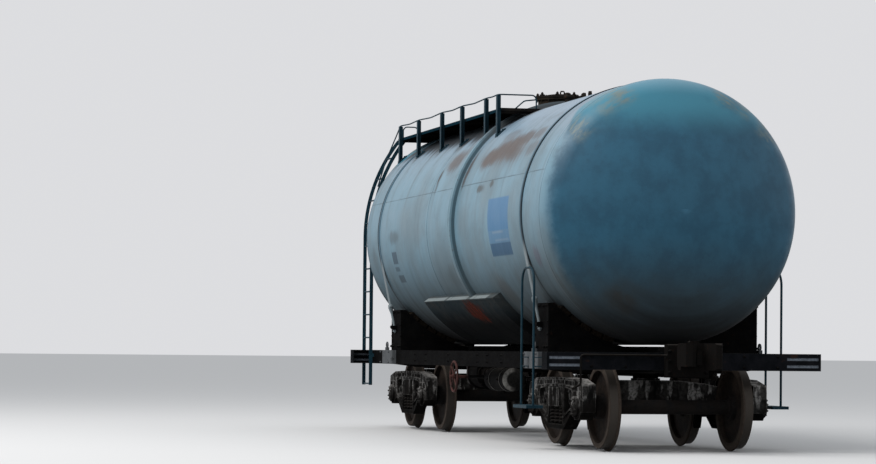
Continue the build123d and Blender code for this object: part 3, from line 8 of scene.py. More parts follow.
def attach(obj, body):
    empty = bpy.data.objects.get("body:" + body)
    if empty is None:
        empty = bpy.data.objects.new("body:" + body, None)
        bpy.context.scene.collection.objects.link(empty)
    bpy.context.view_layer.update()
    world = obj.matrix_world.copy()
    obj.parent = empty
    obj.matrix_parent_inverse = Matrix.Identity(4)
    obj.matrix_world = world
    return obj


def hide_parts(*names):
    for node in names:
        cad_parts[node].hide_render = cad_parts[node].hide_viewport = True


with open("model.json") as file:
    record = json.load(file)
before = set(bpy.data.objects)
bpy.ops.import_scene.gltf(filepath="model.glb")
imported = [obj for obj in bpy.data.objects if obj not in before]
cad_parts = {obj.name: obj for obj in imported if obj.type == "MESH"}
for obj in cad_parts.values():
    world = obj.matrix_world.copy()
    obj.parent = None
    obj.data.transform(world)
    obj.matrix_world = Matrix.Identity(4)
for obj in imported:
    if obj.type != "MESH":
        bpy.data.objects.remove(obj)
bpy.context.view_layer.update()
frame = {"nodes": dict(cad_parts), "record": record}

# Sizes in metres: X along the car, Y across it, Z up from the wheel flanges' lowest points.
RAIL = 0.028
TANK_R = 1.533
TANK_Z = RAIL + 2.722
TANK_HALF = 4.700
BASE_HALF = 3.900
BOGIES = (("front", BASE_HALF), ("rear", -BASE_HALF))
AXLE_OFFSET = 0.925
AXLE_Z = RAIL + 0.4785
FRAME_FACE_Y = -1.098
COVER_FACE_Y = -1.146
SPRING_LOW = RAIL + 0.262
SPRING_TOP = RAIL + 0.470
DECK_TOP = RAIL + 4.180
END_BEAM_X = 5.400
SIDE_BOTTOM = RAIL + 0.905
SIDE_TOP = RAIL + 1.100
SADDLE_FACE_Y = -1.272
CYLINDER_Y = -0.620
CYLINDER_Z = RAIL + 0.802
VALVE_AT = (-0.400, -0.820, SIDE_BOTTOM - 0.095)
RING_X = 0.560
RING_FOOT = 0.088
HATCH_X = 0.080
HATCH_TOP = RAIL + 4.392
NECK_BORE = 0.273
STRAP_HALF = 0.050
JACKET_RISE = 0.116
RESERVOIR_Y = -1.060
RESERVOIR_Z = RAIL + 0.750
POST_X = (-4.710, -3.540, -2.120, -0.970, 0.325, 0.947)
CROSS_X = (-2.350, -1.700, -0.400, 1.150, 1.650, 2.350)
# Degrees down from the tank's middle to the side jackets' ledges
JACKET_TOP = 35.7

# The photograph's camera, fitted to the wheels and the tank's outline
PHOTO_WIDTH = 876
FOCAL_PX = 2986.5
AXIS_DROP_PX = 39.67
SENSOR = 36.0
CAMERA_AT = (37.501, -10.474, 1.142)
CAMERA_YAW = radians(76.677)
CAMERA_PITCH = radians(1.493)
CAMERA_ROLL = radians(0.532)


# Colours

def paint(red, green, blue):
    """A colour written as it looks on the screen, 0 to 255, as a linear RGBA tuple."""
    def linear(level):
        level /= 255.0
        return level / 12.92 if level <= 0.04045 else ((level + 0.055) / 1.055) ** 2.4
    return (linear(red), linear(green), linear(blue), 1.0)


PALE = paint(112, 146, 164)
PALE_GREY = paint(104, 129, 142)
CROWN = paint(130, 148, 166)
STREAK = paint(84, 104, 113)
# Grey grime and near-black soot, also used as painted shade low on the tank and ring and in the hatch's
# mouth.
GRIME_AND_SHADE = paint(60, 66, 67)
SOOT_AND_SHADE = paint(17, 17, 18)
DEEP = paint(40, 94, 120)
DEEP_DARK = paint(28, 74, 98)
TURQUOISE = paint(62, 132, 154)
OCHRE = paint(108, 120, 116)
BROWN = paint(72, 61, 57)
SIGN = paint(62, 116, 158)
SIGN_LOW = paint(36, 84, 118)
MARK = paint(46, 72, 90)
SEAM = paint(66, 88, 98)
RUST = paint(100, 54, 36)
RUST_DARK = paint(56, 38, 30)
TEAL = paint(16, 44, 56)
TEAL_WORN = paint(36, 66, 78)
BLACK = paint(11, 11, 12)
BLACK_DUSTY = paint(23, 23, 23)
DUST = paint(66, 63, 60)
CAST = paint(24, 22, 21)
CAST_DUSTY = paint(168, 165, 162)
WHITE = paint(92, 95, 98)
WHITE_DIRTY = paint(66, 68, 69)


def cleared_nodes(owner):
    owner.use_nodes = True
    owner.node_tree.nodes.clear()
    return owner.node_tree.nodes, owner.node_tree.links


def place(name, data):
    thing = bpy.data.objects.new(name, data)
    bpy.context.scene.collection.objects.link(thing)
    return thing


class Shade:
    """One material's node tree, with short names for the nodes that the finishes below use."""

    def __init__(self, name):
        self.material = bpy.data.materials.new(name)
        self.nodes, self.links = cleared_nodes(self.material)
        output = self.nodes.new("ShaderNodeOutputMaterial")
        self.shader = self.nodes.new("ShaderNodeBsdfPrincipled")
        self.links.new(self.shader.outputs["BSDF"], output.inputs["Surface"])
        self.point = self.nodes.new("ShaderNodeTexCoord").outputs["Object"]
        split = self.nodes.new("ShaderNodeSeparateXYZ")
        self.links.new(self.point, split.inputs[0])
        self.x, self.y, self.z = split.outputs
        self.geometry = self.nodes.new("ShaderNodeNewGeometry")
        facing = self.nodes.new("ShaderNodeSeparateXYZ")
        self.links.new(self.geometry.outputs["Normal"], facing.inputs[0])
        self.nx, self.ny, self.nz = facing.outputs

    def set(self, socket, value):
        if isinstance(value, bpy.types.NodeSocket):
            self.links.new(value, socket)
        else:
            socket.default_value = value

    def math(self, operation, first, second=0.0):
        node = self.nodes.new("ShaderNodeMath")
        node.operation = operation
        self.set(node.inputs[0], first)
        self.set(node.inputs[1], second)
        return node.outputs[0]

    def plus(self, first, second):
        return self.math("ADD", first, second)

    def less(self, first, second):
        return self.math("SUBTRACT", first, second)

    def times(self, first, second):
        return self.math("MULTIPLY", first, second)

    def most(self, first, second):
        return self.math("MAXIMUM", first, second)

    def size(self, value):
        return self.math("ABSOLUTE", value)

    def distance(self, first, second):
        return self.math("SQRT", self.plus(self.times(first, first), self.times(second, second)))

    def spread(self, noise, width):
        """Moves a noise of about a half to about zero, and makes it width times as wide."""
        return self.times(self.less(noise, 0.5), width)

    def ramp(self, value, start, end, low=0.0, high=1.0):
        """Eases from low at start to high at end."""
        node = self.nodes.new("ShaderNodeMapRange")
        node.interpolation_type = "SMOOTHSTEP"
        self.set(node.inputs["Value"], value)
        self.set(node.inputs["From Min"], start)
        self.set(node.inputs["From Max"], end)
        node.inputs["To Min"].default_value = low
        node.inputs["To Max"].default_value = high
        return node.outputs["Result"]

    def between(self, value, low, high, soft):
        """1 from low to high and 0 outside, with soft edges."""
        rise = self.ramp(value, low - soft, low + soft)
        fall = self.ramp(value, high + soft, high - soft)
        return self.times(rise, fall)

    def noise(self, scale, detail=4.0, roughness=0.55, stretch=None):
        """Noise of about one blotch in 1/scale metres; stretch squeezes it along X, Y and Z."""
        point = self.point
        if stretch is not None:
            mapping = self.nodes.new("ShaderNodeMapping")
            mapping.inputs["Scale"].default_value = stretch
            self.links.new(point, mapping.inputs["Vector"])
            point = mapping.outputs[0]
        node = self.nodes.new("ShaderNodeTexNoise")
        self.links.new(point, node.inputs["Vector"])
        for name, value in (("Scale", scale), ("Detail", detail), ("Roughness", roughness)):
            node.inputs[name].default_value = value
        return node.outputs["Fac"]

    def mix(self, factor, first, second):
        node = self.nodes.new("ShaderNodeMix")
        node.data_type = "RGBA"
        self.set(node.inputs["Factor"], factor)
        self.set(node.inputs[6], first)
        self.set(node.inputs[7], second)
        return node.outputs[2]

    def bump(self, height, depth, normal=None):
        """A bump of that depth in metres for a height from 0 to 1."""
        node = self.nodes.new("ShaderNodeBump")
        node.inputs["Distance"].default_value = depth
        node.inputs["Strength"].default_value = 1.0
        self.links.new(height, node.inputs["Height"])
        if normal is not None:
            self.links.new(normal, node.inputs["Normal"])
        return node.outputs[0]

    def edges(self, radius):
        """1 at the piece's sharp edges, from the difference between its rounded and true normals."""
        bevel = self.nodes.new("ShaderNodeBevel")
        bevel.samples = 4
        bevel.inputs["Radius"].default_value = radius
        dot = self.nodes.new("ShaderNodeVectorMath")
        dot.operation = "DOT_PRODUCT"
        self.links.new(bevel.outputs[0], dot.inputs[0])
        self.links.new(self.geometry.outputs["True Normal"], dot.inputs[1])
        return self.ramp(dot.outputs["Value"], 0.985, 0.86)

    def finish(self, colour, roughness, normal, specular, metallic=0.0):
        values = {"Base Color": colour, "Roughness": roughness, "Metallic": metallic,
                  "Specular IOR Level": specular, "Normal": normal}
        for name, value in values.items():
            self.set(self.shader.inputs[name], value)
        return self.material


# Paint on the tank. Angles are in degrees up from the near side's middle, over the crown.

# Columns: X, angle, half length, half angle, colour, strength
DIRT = (
    (2.40, 31.5, 1.35, 9.5, BROWN, 0.35),
    (1.64, 30.5, 0.40, 6.0, BROWN, 0.95), (2.02, 33.0, 0.44, 8.0, BROWN, 0.95),
    (2.50, 34.0, 0.44, 8.5, BROWN, 0.95), (2.80, 30.0, 0.36, 5.0, BROWN, 0.70),
    (2.98, 38.0, 0.36, 5.0, BROWN, 0.80), (3.45, 39.0, 0.30, 4.0, BROWN, 0.60),
    (3.60, 30.5, 0.28, 4.0, BROWN, 0.40), (1.96, 43.0, 0.40, 4.0, BROWN, 0.45),
    (-0.30, 33.5, 0.42, 8.0, BROWN, 0.85), (0.74, 27.0, 0.09, 12.0, BROWN, 0.85),
    (0.20, 40.0, 0.34, 7.0, BROWN, 0.50), (-0.82, 25.5, 0.07, 4.5, SOOT_AND_SHADE, 0.90),
    (-0.77, 19.5, 0.045, 4.0, SOOT_AND_SHADE, 0.60), (1.75, 14.4, 0.20, 2.4, GRIME_AND_SHADE, 0.85),
    (2.30, 15.8, 0.12, 2.2, GRIME_AND_SHADE, 0.85), (2.25, -36.0, 0.32, 9.0, BROWN, 0.55),
    (3.30, -30.0, 0.35, 9.0, BROWN, 0.25), (-2.20, 8.0, 0.60, 14.0, PALE_GREY, 0.45),
    (4.32, -20.0, 0.15, 5.5, paint(96, 92, 108), 0.65), (-2.94, -2.3, 0.42, 4.0, GRIME_AND_SHADE, 0.50),
    (-4.30, -14.0, 0.20, 9.0, GRIME_AND_SHADE, 0.35), (0.10, -26.0, 0.50, 7.0, GRIME_AND_SHADE, 0.35),
)
# Painted rectangles. Columns: first X, last X, lowest angle, highest angle, colour, strength
PANELS = (
    (2.32, 3.29, -6.5, 8.4, SIGN, 0.95), (2.34, 3.31, -18.0, -12.0, SIGN_LOW, 1.0),
    (2.33, 3.30, -12.0, -6.5, SIGN, 0.70), (2.52, 3.02, -7.6, -6.7, CROWN, 0.55),
    (2.62, 3.24, -11.2, -10.4, CROWN, 0.50), (-3.17, -2.88, -16.2, -9.8, MARK, 0.85),
    (-3.15, -2.90, -20.2, -17.8, MARK, 0.65), (-3.12, -2.80, -26.4, -22.4, MARK, 0.80),
)
# Worn patches on the dished ends. Columns: lowest angle, highest angle, strength
WORN_BANDS = ((34.0, 45.0, 0.85), (51.0, 60.0, 0.6), (61.0, 70.0, 0.9))
# Weld seams
PLATE_END = -0.935
RING_SEAMS = (-TANK_HALF, PLATE_END, TANK_HALF)
# Columns: first X, last X, angle
LONG_SEAMS = (
    (-TANK_HALF, PLATE_END, 17.7), (PLATE_END, TANK_HALF, 17.7),
    (-TANK_HALF, TANK_HALF, 74.0), (-TANK_HALF, TANK_HALF, 162.3),
)


class TankShade(Shade):
    """The places and noises that the layers of the tank's paint share."""

    def __init__(self, name):
        super().__init__(name)
        self.height = self.less(self.z, TANK_Z)
        self.angle = self.times(self.math("ARCTAN2", self.height, self.times(self.y, -1.0)), 180.0 / pi)
        self.above = self.less(90.0, self.size(self.less(self.angle, 90.0)))
        self.length = self.size(self.x)
        self.streaks = self.noise(1.0, 5.0, 0.6, stretch=(7.0, 0.35, 0.35))
        self.fine = self.noise(1.0, 3.0, 0.6, stretch=(26.0, 0.9, 0.9))
        self.fine_head = self.noise(5.0, 6.0, 0.66, stretch=(4.0, 1.0, 1.0))
        self.clouds = self.noise(0.9, 5.0, 0.6)
        self.blotches = self.noise(3.2, 6.0, 0.65)
        self.specks = self.noise(21.0, 6.0, 0.7)


def faded_coat(s):
    """Pale blue, paler over the crown, with streaks that run down around the tank."""
    colour = s.mix(s.ramp(s.clouds, 0.38, 0.62), PALE, PALE_GREY)
    colour = s.mix(s.ramp(s.height, 0.55, 1.45, 0.0, 0.85), colour, CROWN)
    colour = s.mix(s.ramp(s.streaks, 0.48, 0.72, 0.0, 0.50), colour, STREAK)
    smudges = s.times(s.ramp(s.blotches, 0.52, 0.70, 0.0, 0.45), s.ramp(s.height, 0.2, 0.9, 0.25, 1.0))
    colour = s.mix(smudges, colour, paint(92, 100, 104))
    return s.mix(s.ramp(s.fine, 0.56, 0.80, 0.0, 0.25), colour, PALE_GREY)


def stains_and_panels(s, colour):
    ragged = s.plus(s.spread(s.blotches, 1.1), s.spread(s.fine, 1.2))
    for x, middle, half, spread, tint, strength in DIRT:
        along = s.times(s.less(s.x, x), 1.0 / half)
        around = s.times(s.less(s.angle, middle), 1.0 / spread)
        away = s.plus(s.distance(along, around), ragged)
        colour = s.mix(s.ramp(away, 1.15, 0.45, 0.0, strength), colour, tint)
    worn = s.ramp(s.blotches, 0.72, 0.56, 0.75, 1.0)
    for x0, x1, low, high, tint, strength in PANELS:
        mask = s.times(s.between(s.x, x0, x1, 0.012), s.between(s.angle, low, high, 0.45))
        colour = s.mix(s.times(s.times(mask, worn), strength), colour, tint)
    return colour


def walkway_grime_and_shade(s, colour):
    """Painted shade and brown grime on the crown's flanks under the walkways, and grime below the posts'
    feet.
    """
    edge = s.ramp(s.x, 0.35, 1.30, 46.0, 64.0)
    grime_and_shade = s.plus(s.less(s.above, edge), s.spread(s.streaks, 20.0))
    grime_and_shade = s.times(s.ramp(grime_and_shade, -4.0, 4.0), s.ramp(s.above, 80.0, 72.0))
    grime_and_shade = s.times(grime_and_shade, s.between(s.x, -4.75, 1.25, 0.12))
    for x in POST_X[:-1]:
        spot = s.times(s.between(s.x, x - 0.05, x + 0.13, 0.05), s.between(s.above, 41.5, 50.0, 3.0))
        grime_and_shade = s.most(grime_and_shade, s.times(spot, 0.75))
    # Dark brown: painted shade with grime where the walkways shade the tank, and grime at the posts' feet.
    return s.mix(s.times(grime_and_shade, 0.92), colour, paint(30, 28, 28))


def dished_ends(s, colour):
    """The older deep blue left on the dished ends, worn and stained, with a scuffed border."""
    deep = s.mix(s.ramp(s.blotches, 0.36, 0.66, 0.0, 0.7), DEEP, DEEP_DARK)
    deep = s.mix(s.ramp(s.specks, 0.52, 0.72, 0.0, 0.35), deep, DEEP_DARK)
    top = s.times(s.ramp(s.height, 0.80, 1.25), s.ramp(s.clouds, 0.40, 0.58, 0.15, 0.85))
    deep = s.mix(top, deep, TURQUOISE)
    rim = s.ramp(s.length, 5.05, 4.97)
    for low, high, strength in WORN_BANDS:
        worn = s.times(s.between(s.above, low, high, 3.0), s.times(rim, s.ramp(s.fine_head, 0.38, 0.64)))
        deep = s.mix(s.times(worn, strength), deep, OCHRE)
    deep = s.mix(s.ramp(s.height, 1.30, 1.5, 0.0, 0.5), deep, PALE)
    stain = s.times(s.between(s.angle, -66.0, -49.0, 5.0), s.between(s.length, 5.00, 5.16, 0.05))
    deep = s.mix(s.times(stain, s.ramp(s.blotches, 0.62, 0.40, 0.3, 0.95)), deep, paint(28, 22, 24))

    border = s.ramp(s.above, 30.0, 56.0, 0.0, 0.60)
    reach = s.plus(s.plus(s.length, border), s.spread(s.blotches, 0.20))
    colour = s.mix(s.ramp(reach, 4.80, 4.97), colour, deep)
    scuffed = s.times(s.between(s.length, 4.60, 4.87, 0.05), s.ramp(s.angle, -14.0, -30.0))
    scuffed = s.times(scuffed, s.ramp(s.fine_head, 0.38, 0.60, 0.1, 0.75))
    return s.mix(scuffed, colour, paint(104, 116, 122))


def seams_and_bands(s, colour):
    """Dark lines along the weld seams and beside the straps, and painted shade on the crown within the
    hatch's neck.
    """
    seams = 0.0
    for x0, x1, middle in LONG_SEAMS:
        line = s.between(s.angle, middle - 0.26, middle + 0.26, 0.16)
        seams = s.most(seams, s.times(line, s.between(s.x, x0, x1, 0.01)))
    for x in RING_SEAMS:
        seams = s.most(seams, s.between(s.x, x - 0.012, x + 0.012, 0.008))
    broken = s.ramp(s.noise(2.2, 3.0), 0.30, 0.60, 0.20, 0.7)
    colour = s.mix(s.times(seams, broken), colour, SEAM)
    at_strap = s.between(s.length, BASE_HALF, BASE_HALF + STRAP_HALF + 0.002, 0.005)
    colour = s.mix(s.times(at_strap, 0.9), colour, paint(30, 48, 58))
    # Painted shade: the crown within the hatch's neck is painted black for the dark mouth into the tank.
    from_hatch = s.distance(s.less(s.x, HATCH_X), s.y)
    shaded_mouth = s.times(s.ramp(from_hatch, NECK_BORE + 0.008, NECK_BORE + 0.002), s.ramp(s.height, 1.3, 1.4))
    return s.mix(shaded_mouth, colour, SOOT_AND_SHADE)


def tank_finish():
    s = TankShade("tank_paint")
    colour = faded_coat(s)
    for layer in (stains_and_panels, walkway_grime_and_shade, dished_ends, seams_and_bands):
        colour = layer(s, colour)
    # Darker towards the bottom, down to near black under the tank: grime and painted shade.
    low_dirt_and_shade = s.plus(s.height, s.spread(s.streaks, 0.55))
    colour = s.mix(s.ramp(low_dirt_and_shade, -0.15, -1.15, 0.0, 0.78), colour, GRIME_AND_SHADE)
    colour = s.mix(s.ramp(low_dirt_and_shade, -0.85, -1.42, 0.0, 0.96), colour, SOOT_AND_SHADE)
    pits = s.times(s.ramp(s.specks, 0.66, 0.74), s.ramp(s.clouds, 0.44, 0.60, 0.15, 1.0))
    colour = s.mix(s.times(pits, 0.6), colour, RUST_DARK)
    rough = s.plus(s.ramp(low_dirt_and_shade, 0.2, -1.1, 0.42, 0.85), s.spread(s.blotches, 0.22))
    ripple = s.bump(s.noise(0.8, 2.0), 0.030)
    return s.finish(colour, rough, s.bump(s.noise(60.0, 3.0), 0.0006, ripple), specular=0.35)


def ring_finish():
    """The stiffening ring: pale, with a painted highlight on its far flank, painted shade at the base of its
    near flank, grime and painted shade over the crown, and darker towards the bottom with grime and painted
    shade.
    """
    s = Shade("ring_paint")
    height = s.less(s.z, TANK_Z)
    radius = s.distance(s.y, height)
    slope = s.math("ARCTAN2", height, s.size(s.y))
    blotches = s.noise(4.0, 5.0, 0.6)
    fine = s.noise(14.0, 5.0, 0.65)
    colour = s.mix(s.ramp(blotches, 0.42, 0.66), paint(110, 141, 156), PALE_GREY)
    # Painted shade at the base of the near flank, which faces +X, and a painted highlight on the far flank,
    # which faces -X.
    shaded_root = s.times(s.ramp(s.nx, 0.20, 0.70), s.ramp(radius, TANK_R + 0.050, TANK_R + 0.036, 0.25, 1.0))
    colour = s.mix(s.times(shaded_root, 0.9), colour, paint(40, 68, 80))
    colour = s.mix(s.ramp(s.nx, -0.1, -0.6, 0.0, 0.75), colour, paint(142, 164, 174))
    colour = s.mix(s.ramp(fine, 0.56, 0.70, 0.0, 0.45), colour, BROWN)
    # Grime and painted shade over the crown, where the walkways shade the ring.
    grime_and_shade = s.plus(slope, s.spread(blotches, 0.5))
    colour = s.mix(s.ramp(grime_and_shade, radians(34.0), radians(54.0), 0.0, 0.85), colour, paint(58, 60, 62))
    # Darker towards the bottom: grime and painted shade.
    low = s.plus(height, s.spread(blotches, 0.5))
    colour = s.mix(s.ramp(low, -0.2, -1.1, 0.0, 0.80), colour, GRIME_AND_SHADE)
    skin = s.bump(s.noise(50.0, 3.0), 0.0006)
    return s.finish(colour, s.ramp(blotches, 0.3, 0.7, 0.48, 0.70), skin, specular=0.3)


def strap_finish():
    """Flat straps, slate blue on their outer half, lighter where they hang free as rods."""
    s = Shade("strap_paint")
    blotches = s.noise(6.0, 5.0, 0.65)
    colour = s.mix(s.ramp(blotches, 0.40, 0.68), paint(26, 42, 52), paint(40, 58, 68))
    inner = s.ramp(s.size(s.x), BASE_HALF + 0.006, BASE_HALF - 0.014, 0.0, 0.9)
    colour = s.mix(inner, colour, paint(92, 120, 136))
    low = s.ramp(s.z, TANK_Z - 0.28, TANK_Z - 0.50)
    colour = s.mix(s.times(low, 0.85), colour, paint(142, 152, 156))
    pits = s.ramp(s.noise(30.0, 5.0, 0.7), 0.60, 0.72, 0.0, 0.5)
    colour = s.mix(pits, colour, RUST_DARK)
    return s.finish(colour, s.ramp(blotches, 0.3, 0.7, 0.55, 0.8), s.bump(blotches, 0.001), specular=0.2)


def jacket_finish():
    """Side jackets: slate under grime, a pale ledge on top, and a patch of orange rust."""
    s = Shade("jacket_paint")
    ledge = TANK_Z - (TANK_R + JACKET_RISE) * sin(radians(JACKET_TOP)) - 0.004
    blotches = s.noise(3.4, 6.0, 0.65)
    fine = s.noise(9.0, 4.0, 0.6, stretch=(2.6, 0.5, 0.5))
    colour = s.mix(s.ramp(blotches, 0.40, 0.64), paint(50, 60, 65), paint(62, 65, 66))
    colour = s.mix(s.ramp(fine, 0.52, 0.72, 0.0, 0.3), colour, GRIME_AND_SHADE)
    # Darker towards the bottom, to near black.
    ragged_z = s.plus(s.z, s.spread(blotches, 0.18))
    colour = s.mix(s.ramp(ragged_z, ledge - 0.02, ledge - 0.34, 0.0, 0.92), colour, SOOT_AND_SHADE)
    along = s.times(s.less(s.x, 0.52), 1.0 / 0.42)
    down = s.times(s.less(s.z, ledge - 0.15), 1.0 / 0.14)
    away = s.plus(s.distance(along, down), s.spread(s.noise(7.0, 6.0, 0.7), 2.6))
    rust = s.mix(s.ramp(fine, 0.40, 0.60), paint(104, 42, 30), RUST_DARK)
    colour = s.mix(s.ramp(away, 1.2, 0.55, 0.0, 0.85), colour, rust)
    gaps = s.most(s.between(s.x, -0.72, -0.60, 0.02), s.between(s.x, 0.47, 0.66, 0.02))
    runs = s.ramp(s.noise(6.0, 5.0, 0.6, stretch=(1.0, 0.3, 0.3)), 0.55, 0.72, 0.0, 0.6)
    top = s.mix(s.plus(s.times(gaps, 0.7), runs), paint(126, 134, 136), paint(64, 70, 72))
    radius = s.distance(s.y, s.less(s.z, TANK_Z))
    pale = s.times(s.ramp(s.z, ledge - 0.006, ledge + 0.006), s.ramp(s.x, 1.53, 1.47, 0.15, 1.0))
    pale = s.times(pale, s.ramp(radius, TANK_R + 0.036, TANK_R + 0.052, 0.15, 1.0))
    colour = s.mix(pale, colour, top)
    return s.finish(colour, 0.85, s.bump(s.noise(40.0, 4.0, 0.65), 0.0012), specular=0.02)


def steel_finish(name, base, worn, dust, rust, dusting, rusting, rough, edge=0.006, sheen=0.006):
    """Painted or bare structural steel: wear on its edges, dust on what faces up, rust in blotches."""
    s = Shade(name)
    blotches = s.noise(5.0, 6.0, 0.65)
    small = s.noise(28.0, 5.0, 0.68)
    colour = s.mix(s.ramp(blotches, 0.36, 0.66, 0.0, 0.55), base, worn)
    colour = s.mix(s.ramp(small, 0.58, 0.70, 0.0, rusting), colour, rust)
    colour = s.mix(s.times(s.edges(edge), s.ramp(small, 0.35, 0.6, 0.15, 0.8)), colour, worn)
    up = s.ramp(s.nz, 0.15, 0.85)
    settled = s.times(up, s.ramp(blotches, 0.30, 0.60, 0.35, 1.0))
    colour = s.mix(s.times(settled, dusting), colour, dust)
    roughness = s.plus(s.times(settled, 0.25), s.ramp(small, 0.3, 0.7, rough - 0.12, rough + 0.08))
    return s.finish(colour, roughness, s.bump(small, 0.0014), specular=sheen)


def bogie_finish():
    """Bogie castings: brown black under a coat of pale dust that thins out downwards."""
    s = Shade("bogie_cast")
    blotches = s.noise(6.0, 6.0, 0.65)
    small = s.noise(34.0, 5.0, 0.7)
    colour = s.mix(s.ramp(blotches, 0.38, 0.64), CAST, BLACK_DUSTY)
    high = s.ramp(s.plus(s.z, s.spread(blotches, 0.40)), 0.36, 0.76, 0.10, 1.0)
    face = s.plus(s.ramp(s.nz, 0.1, 0.9, 0.16, 1.0), s.times(s.edges(0.020), 1.2))
    drips = s.ramp(s.noise(3.0, 4.0, 0.55, stretch=(4.0, 4.0, 1.0)), 0.50, 0.66, 0.0, 0.60)
    patches = s.ramp(s.noise(4.5, 4.0, 0.6), 0.44, 0.58, 0.25, 1.0)
    dusty = s.times(s.most(face, drips), s.ramp(small, 0.36, 0.60, 0.40, 1.0))
    dusty = s.math("MINIMUM", s.times(s.times(high, patches), dusty), 0.85)
    colour = s.mix(dusty, colour, CAST_DUSTY)
    runs = s.ramp(s.noise(4.0, 3.0, 0.5, stretch=(3.0, 3.0, 0.9)), 0.53, 0.60)
    runs = s.times(s.times(runs, s.ramp(s.z, 0.46, 0.62)), s.ramp(small, 0.38, 0.58, 0.25, 1.0))
    colour = s.mix(s.times(runs, 0.75), colour, paint(176, 174, 172))
    stains = s.noise(3.0, 5.0, 0.6, stretch=(5.0, 5.0, 0.8))
    colour = s.mix(s.ramp(stains, 0.52, 0.66, 0.0, 0.7), colour, SOOT_AND_SHADE)
    return s.finish(colour, s.ramp(small, 0.3, 0.7, 0.75, 0.95), s.bump(small, 0.002), specular=0.0)


# The wheels' treads, from and to across the car
TREAD_Y = (0.745, 0.846)


def wheel_finish():
    """Rolled wheels and axles: brown webs, dusty rims and worn bright treads."""
    s = Shade("wheel_steel")
    offset = s.less(s.size(s.less(s.size(s.x), BASE_HALF)), AXLE_OFFSET)
    radius = s.distance(offset, s.less(s.z, AXLE_Z))
    blotches = s.noise(7.0, 6.0, 0.65)
    small = s.noise(36.0, 5.0, 0.7)
    colour = s.mix(s.ramp(blotches, 0.38, 0.64), paint(26, 22, 20), paint(44, 36, 31))
    rim = s.most(s.ramp(radius, 0.395, 0.425, 0.0, 0.6), s.between(radius, 0.449, 0.462, 0.004))
    colour = s.mix(s.times(rim, s.ramp(small, 0.3, 0.65, 0.30, 0.80)), colour, paint(86, 76, 68))
    tread = s.times(s.ramp(radius, 0.462, 0.470), s.ramp(s.size(s.ny), 0.75, 0.45))
    on_tread = s.times(tread, s.between(s.size(s.y), *TREAD_Y, 0.006))
    colour = s.mix(s.times(on_tread, 0.9), colour, paint(62, 58, 54))
    grease = s.times(s.ramp(radius, 0.20, 0.13), s.ramp(blotches, 0.35, 0.6))
    colour = s.mix(grease, colour, SOOT_AND_SHADE)
    metal = s.times(on_tread, 0.6)
    rough = s.less(s.ramp(small, 0.3, 0.7, 0.74, 0.90), s.times(on_tread, 0.30))
    return s.finish(colour, rough, s.bump(small, 0.0015), metallic=metal, specular=0.15)


def timber_finish():
    """Tarred hardwood packing with its grain along the car."""
    s = Shade("timber")
    grain = s.noise(14.0, 6.0, 0.7, stretch=(0.25, 3.0, 3.0))
    colour = s.mix(s.ramp(grain, 0.35, 0.65), paint(26, 22, 19), paint(50, 43, 36))
    colour = s.mix(s.ramp(s.noise(3.0), 0.45, 0.7, 0.0, 0.7), colour, SOOT_AND_SHADE)
    return s.finish(colour, 0.9, s.bump(grain, 0.003), specular=0.0)


def plate_finish():
    """Dull white marking paint, stained from above."""
    s = Shade("white_paint")
    drips = s.noise(10.0, 5.0, 0.6, stretch=(2.4, 2.4, 0.3))
    blotches = s.noise(9.0, 6.0, 0.68)
    colour = s.mix(s.ramp(drips, 0.46, 0.72, 0.0, 0.75), WHITE, WHITE_DIRTY)
    colour = s.mix(s.ramp(blotches, 0.56, 0.68, 0.0, 0.8), colour, BLACK_DUSTY)
    return s.finish(colour, 0.8, s.bump(blotches, 0.001), specular=0.1)


def deck_finish():
    """Walkway plates: trodden grey on top, a line of teal on the outer lip, and near-black beneath as painted
    shade.
    """
    s = Shade("deck_paint")
    blotches = s.noise(5.0, 6.0, 0.65)
    small = s.noise(30.0, 5.0, 0.68)
    # The near-black base is painted shade for the plates' undersides and brackets under the walkways.
    colour = s.mix(s.ramp(blotches, 0.40, 0.62), paint(22, 22, 23), paint(34, 31, 29))
    lip = s.times(s.ramp(s.size(s.ny), 0.4, 0.8), s.ramp(small, 0.62, 0.50, 0.2, 1.0))
    colour = s.mix(lip, colour, TEAL)
    trodden = s.mix(s.ramp(blotches, 0.35, 0.65), paint(88, 88, 84), paint(58, 58, 57))
    trodden = s.mix(s.ramp(small, 0.56, 0.70, 0.0, 0.7), trodden, RUST_DARK)
    colour = s.mix(s.ramp(s.nz, 0.2, 0.8), colour, trodden)
    return s.finish(colour, 0.85, s.bump(small, 0.0012), specular=0.0)


# The end beams' pressed grooves, from and to across the car, and up
GROOVE_Y = (1.215, 1.585)
GROOVES_Z = ((0.969, 0.998), (1.051, 1.080))


def beam_finish():
    """End beams: dark slate, the pressed grooves picked out by pale dust."""
    s = Shade("beam_paint")
    blotches = s.noise(6.0, 6.0, 0.65)
    small = s.noise(30.0, 5.0, 0.68)
    colour = s.mix(s.ramp(blotches, 0.38, 0.64), paint(15, 17, 20), paint(24, 25, 29))
    lines = 0.0
    for low, high in GROOVES_Z:
        lines = s.most(lines, s.between(s.z, low, high, 0.004))
    grooves = s.times(lines, s.between(s.size(s.y), *GROOVE_Y, 0.008))
    dusted = s.times(grooves, s.ramp(small, 0.35, 0.6, 0.6, 1.0))
    colour = s.mix(dusted, colour, paint(128, 136, 147))
    colour = s.mix(s.ramp(s.nz, 0.3, 0.9, 0.0, 0.6), colour, DUST)
    colour = s.mix(s.times(s.edges(0.006), 0.5), colour, WHITE_DIRTY)
    colour = s.mix(s.ramp(blotches, 0.60, 0.70, 0.0, 0.7), colour, RUST_DARK)
    return s.finish(colour, 0.8, s.bump(small, 0.0012), specular=0.02)


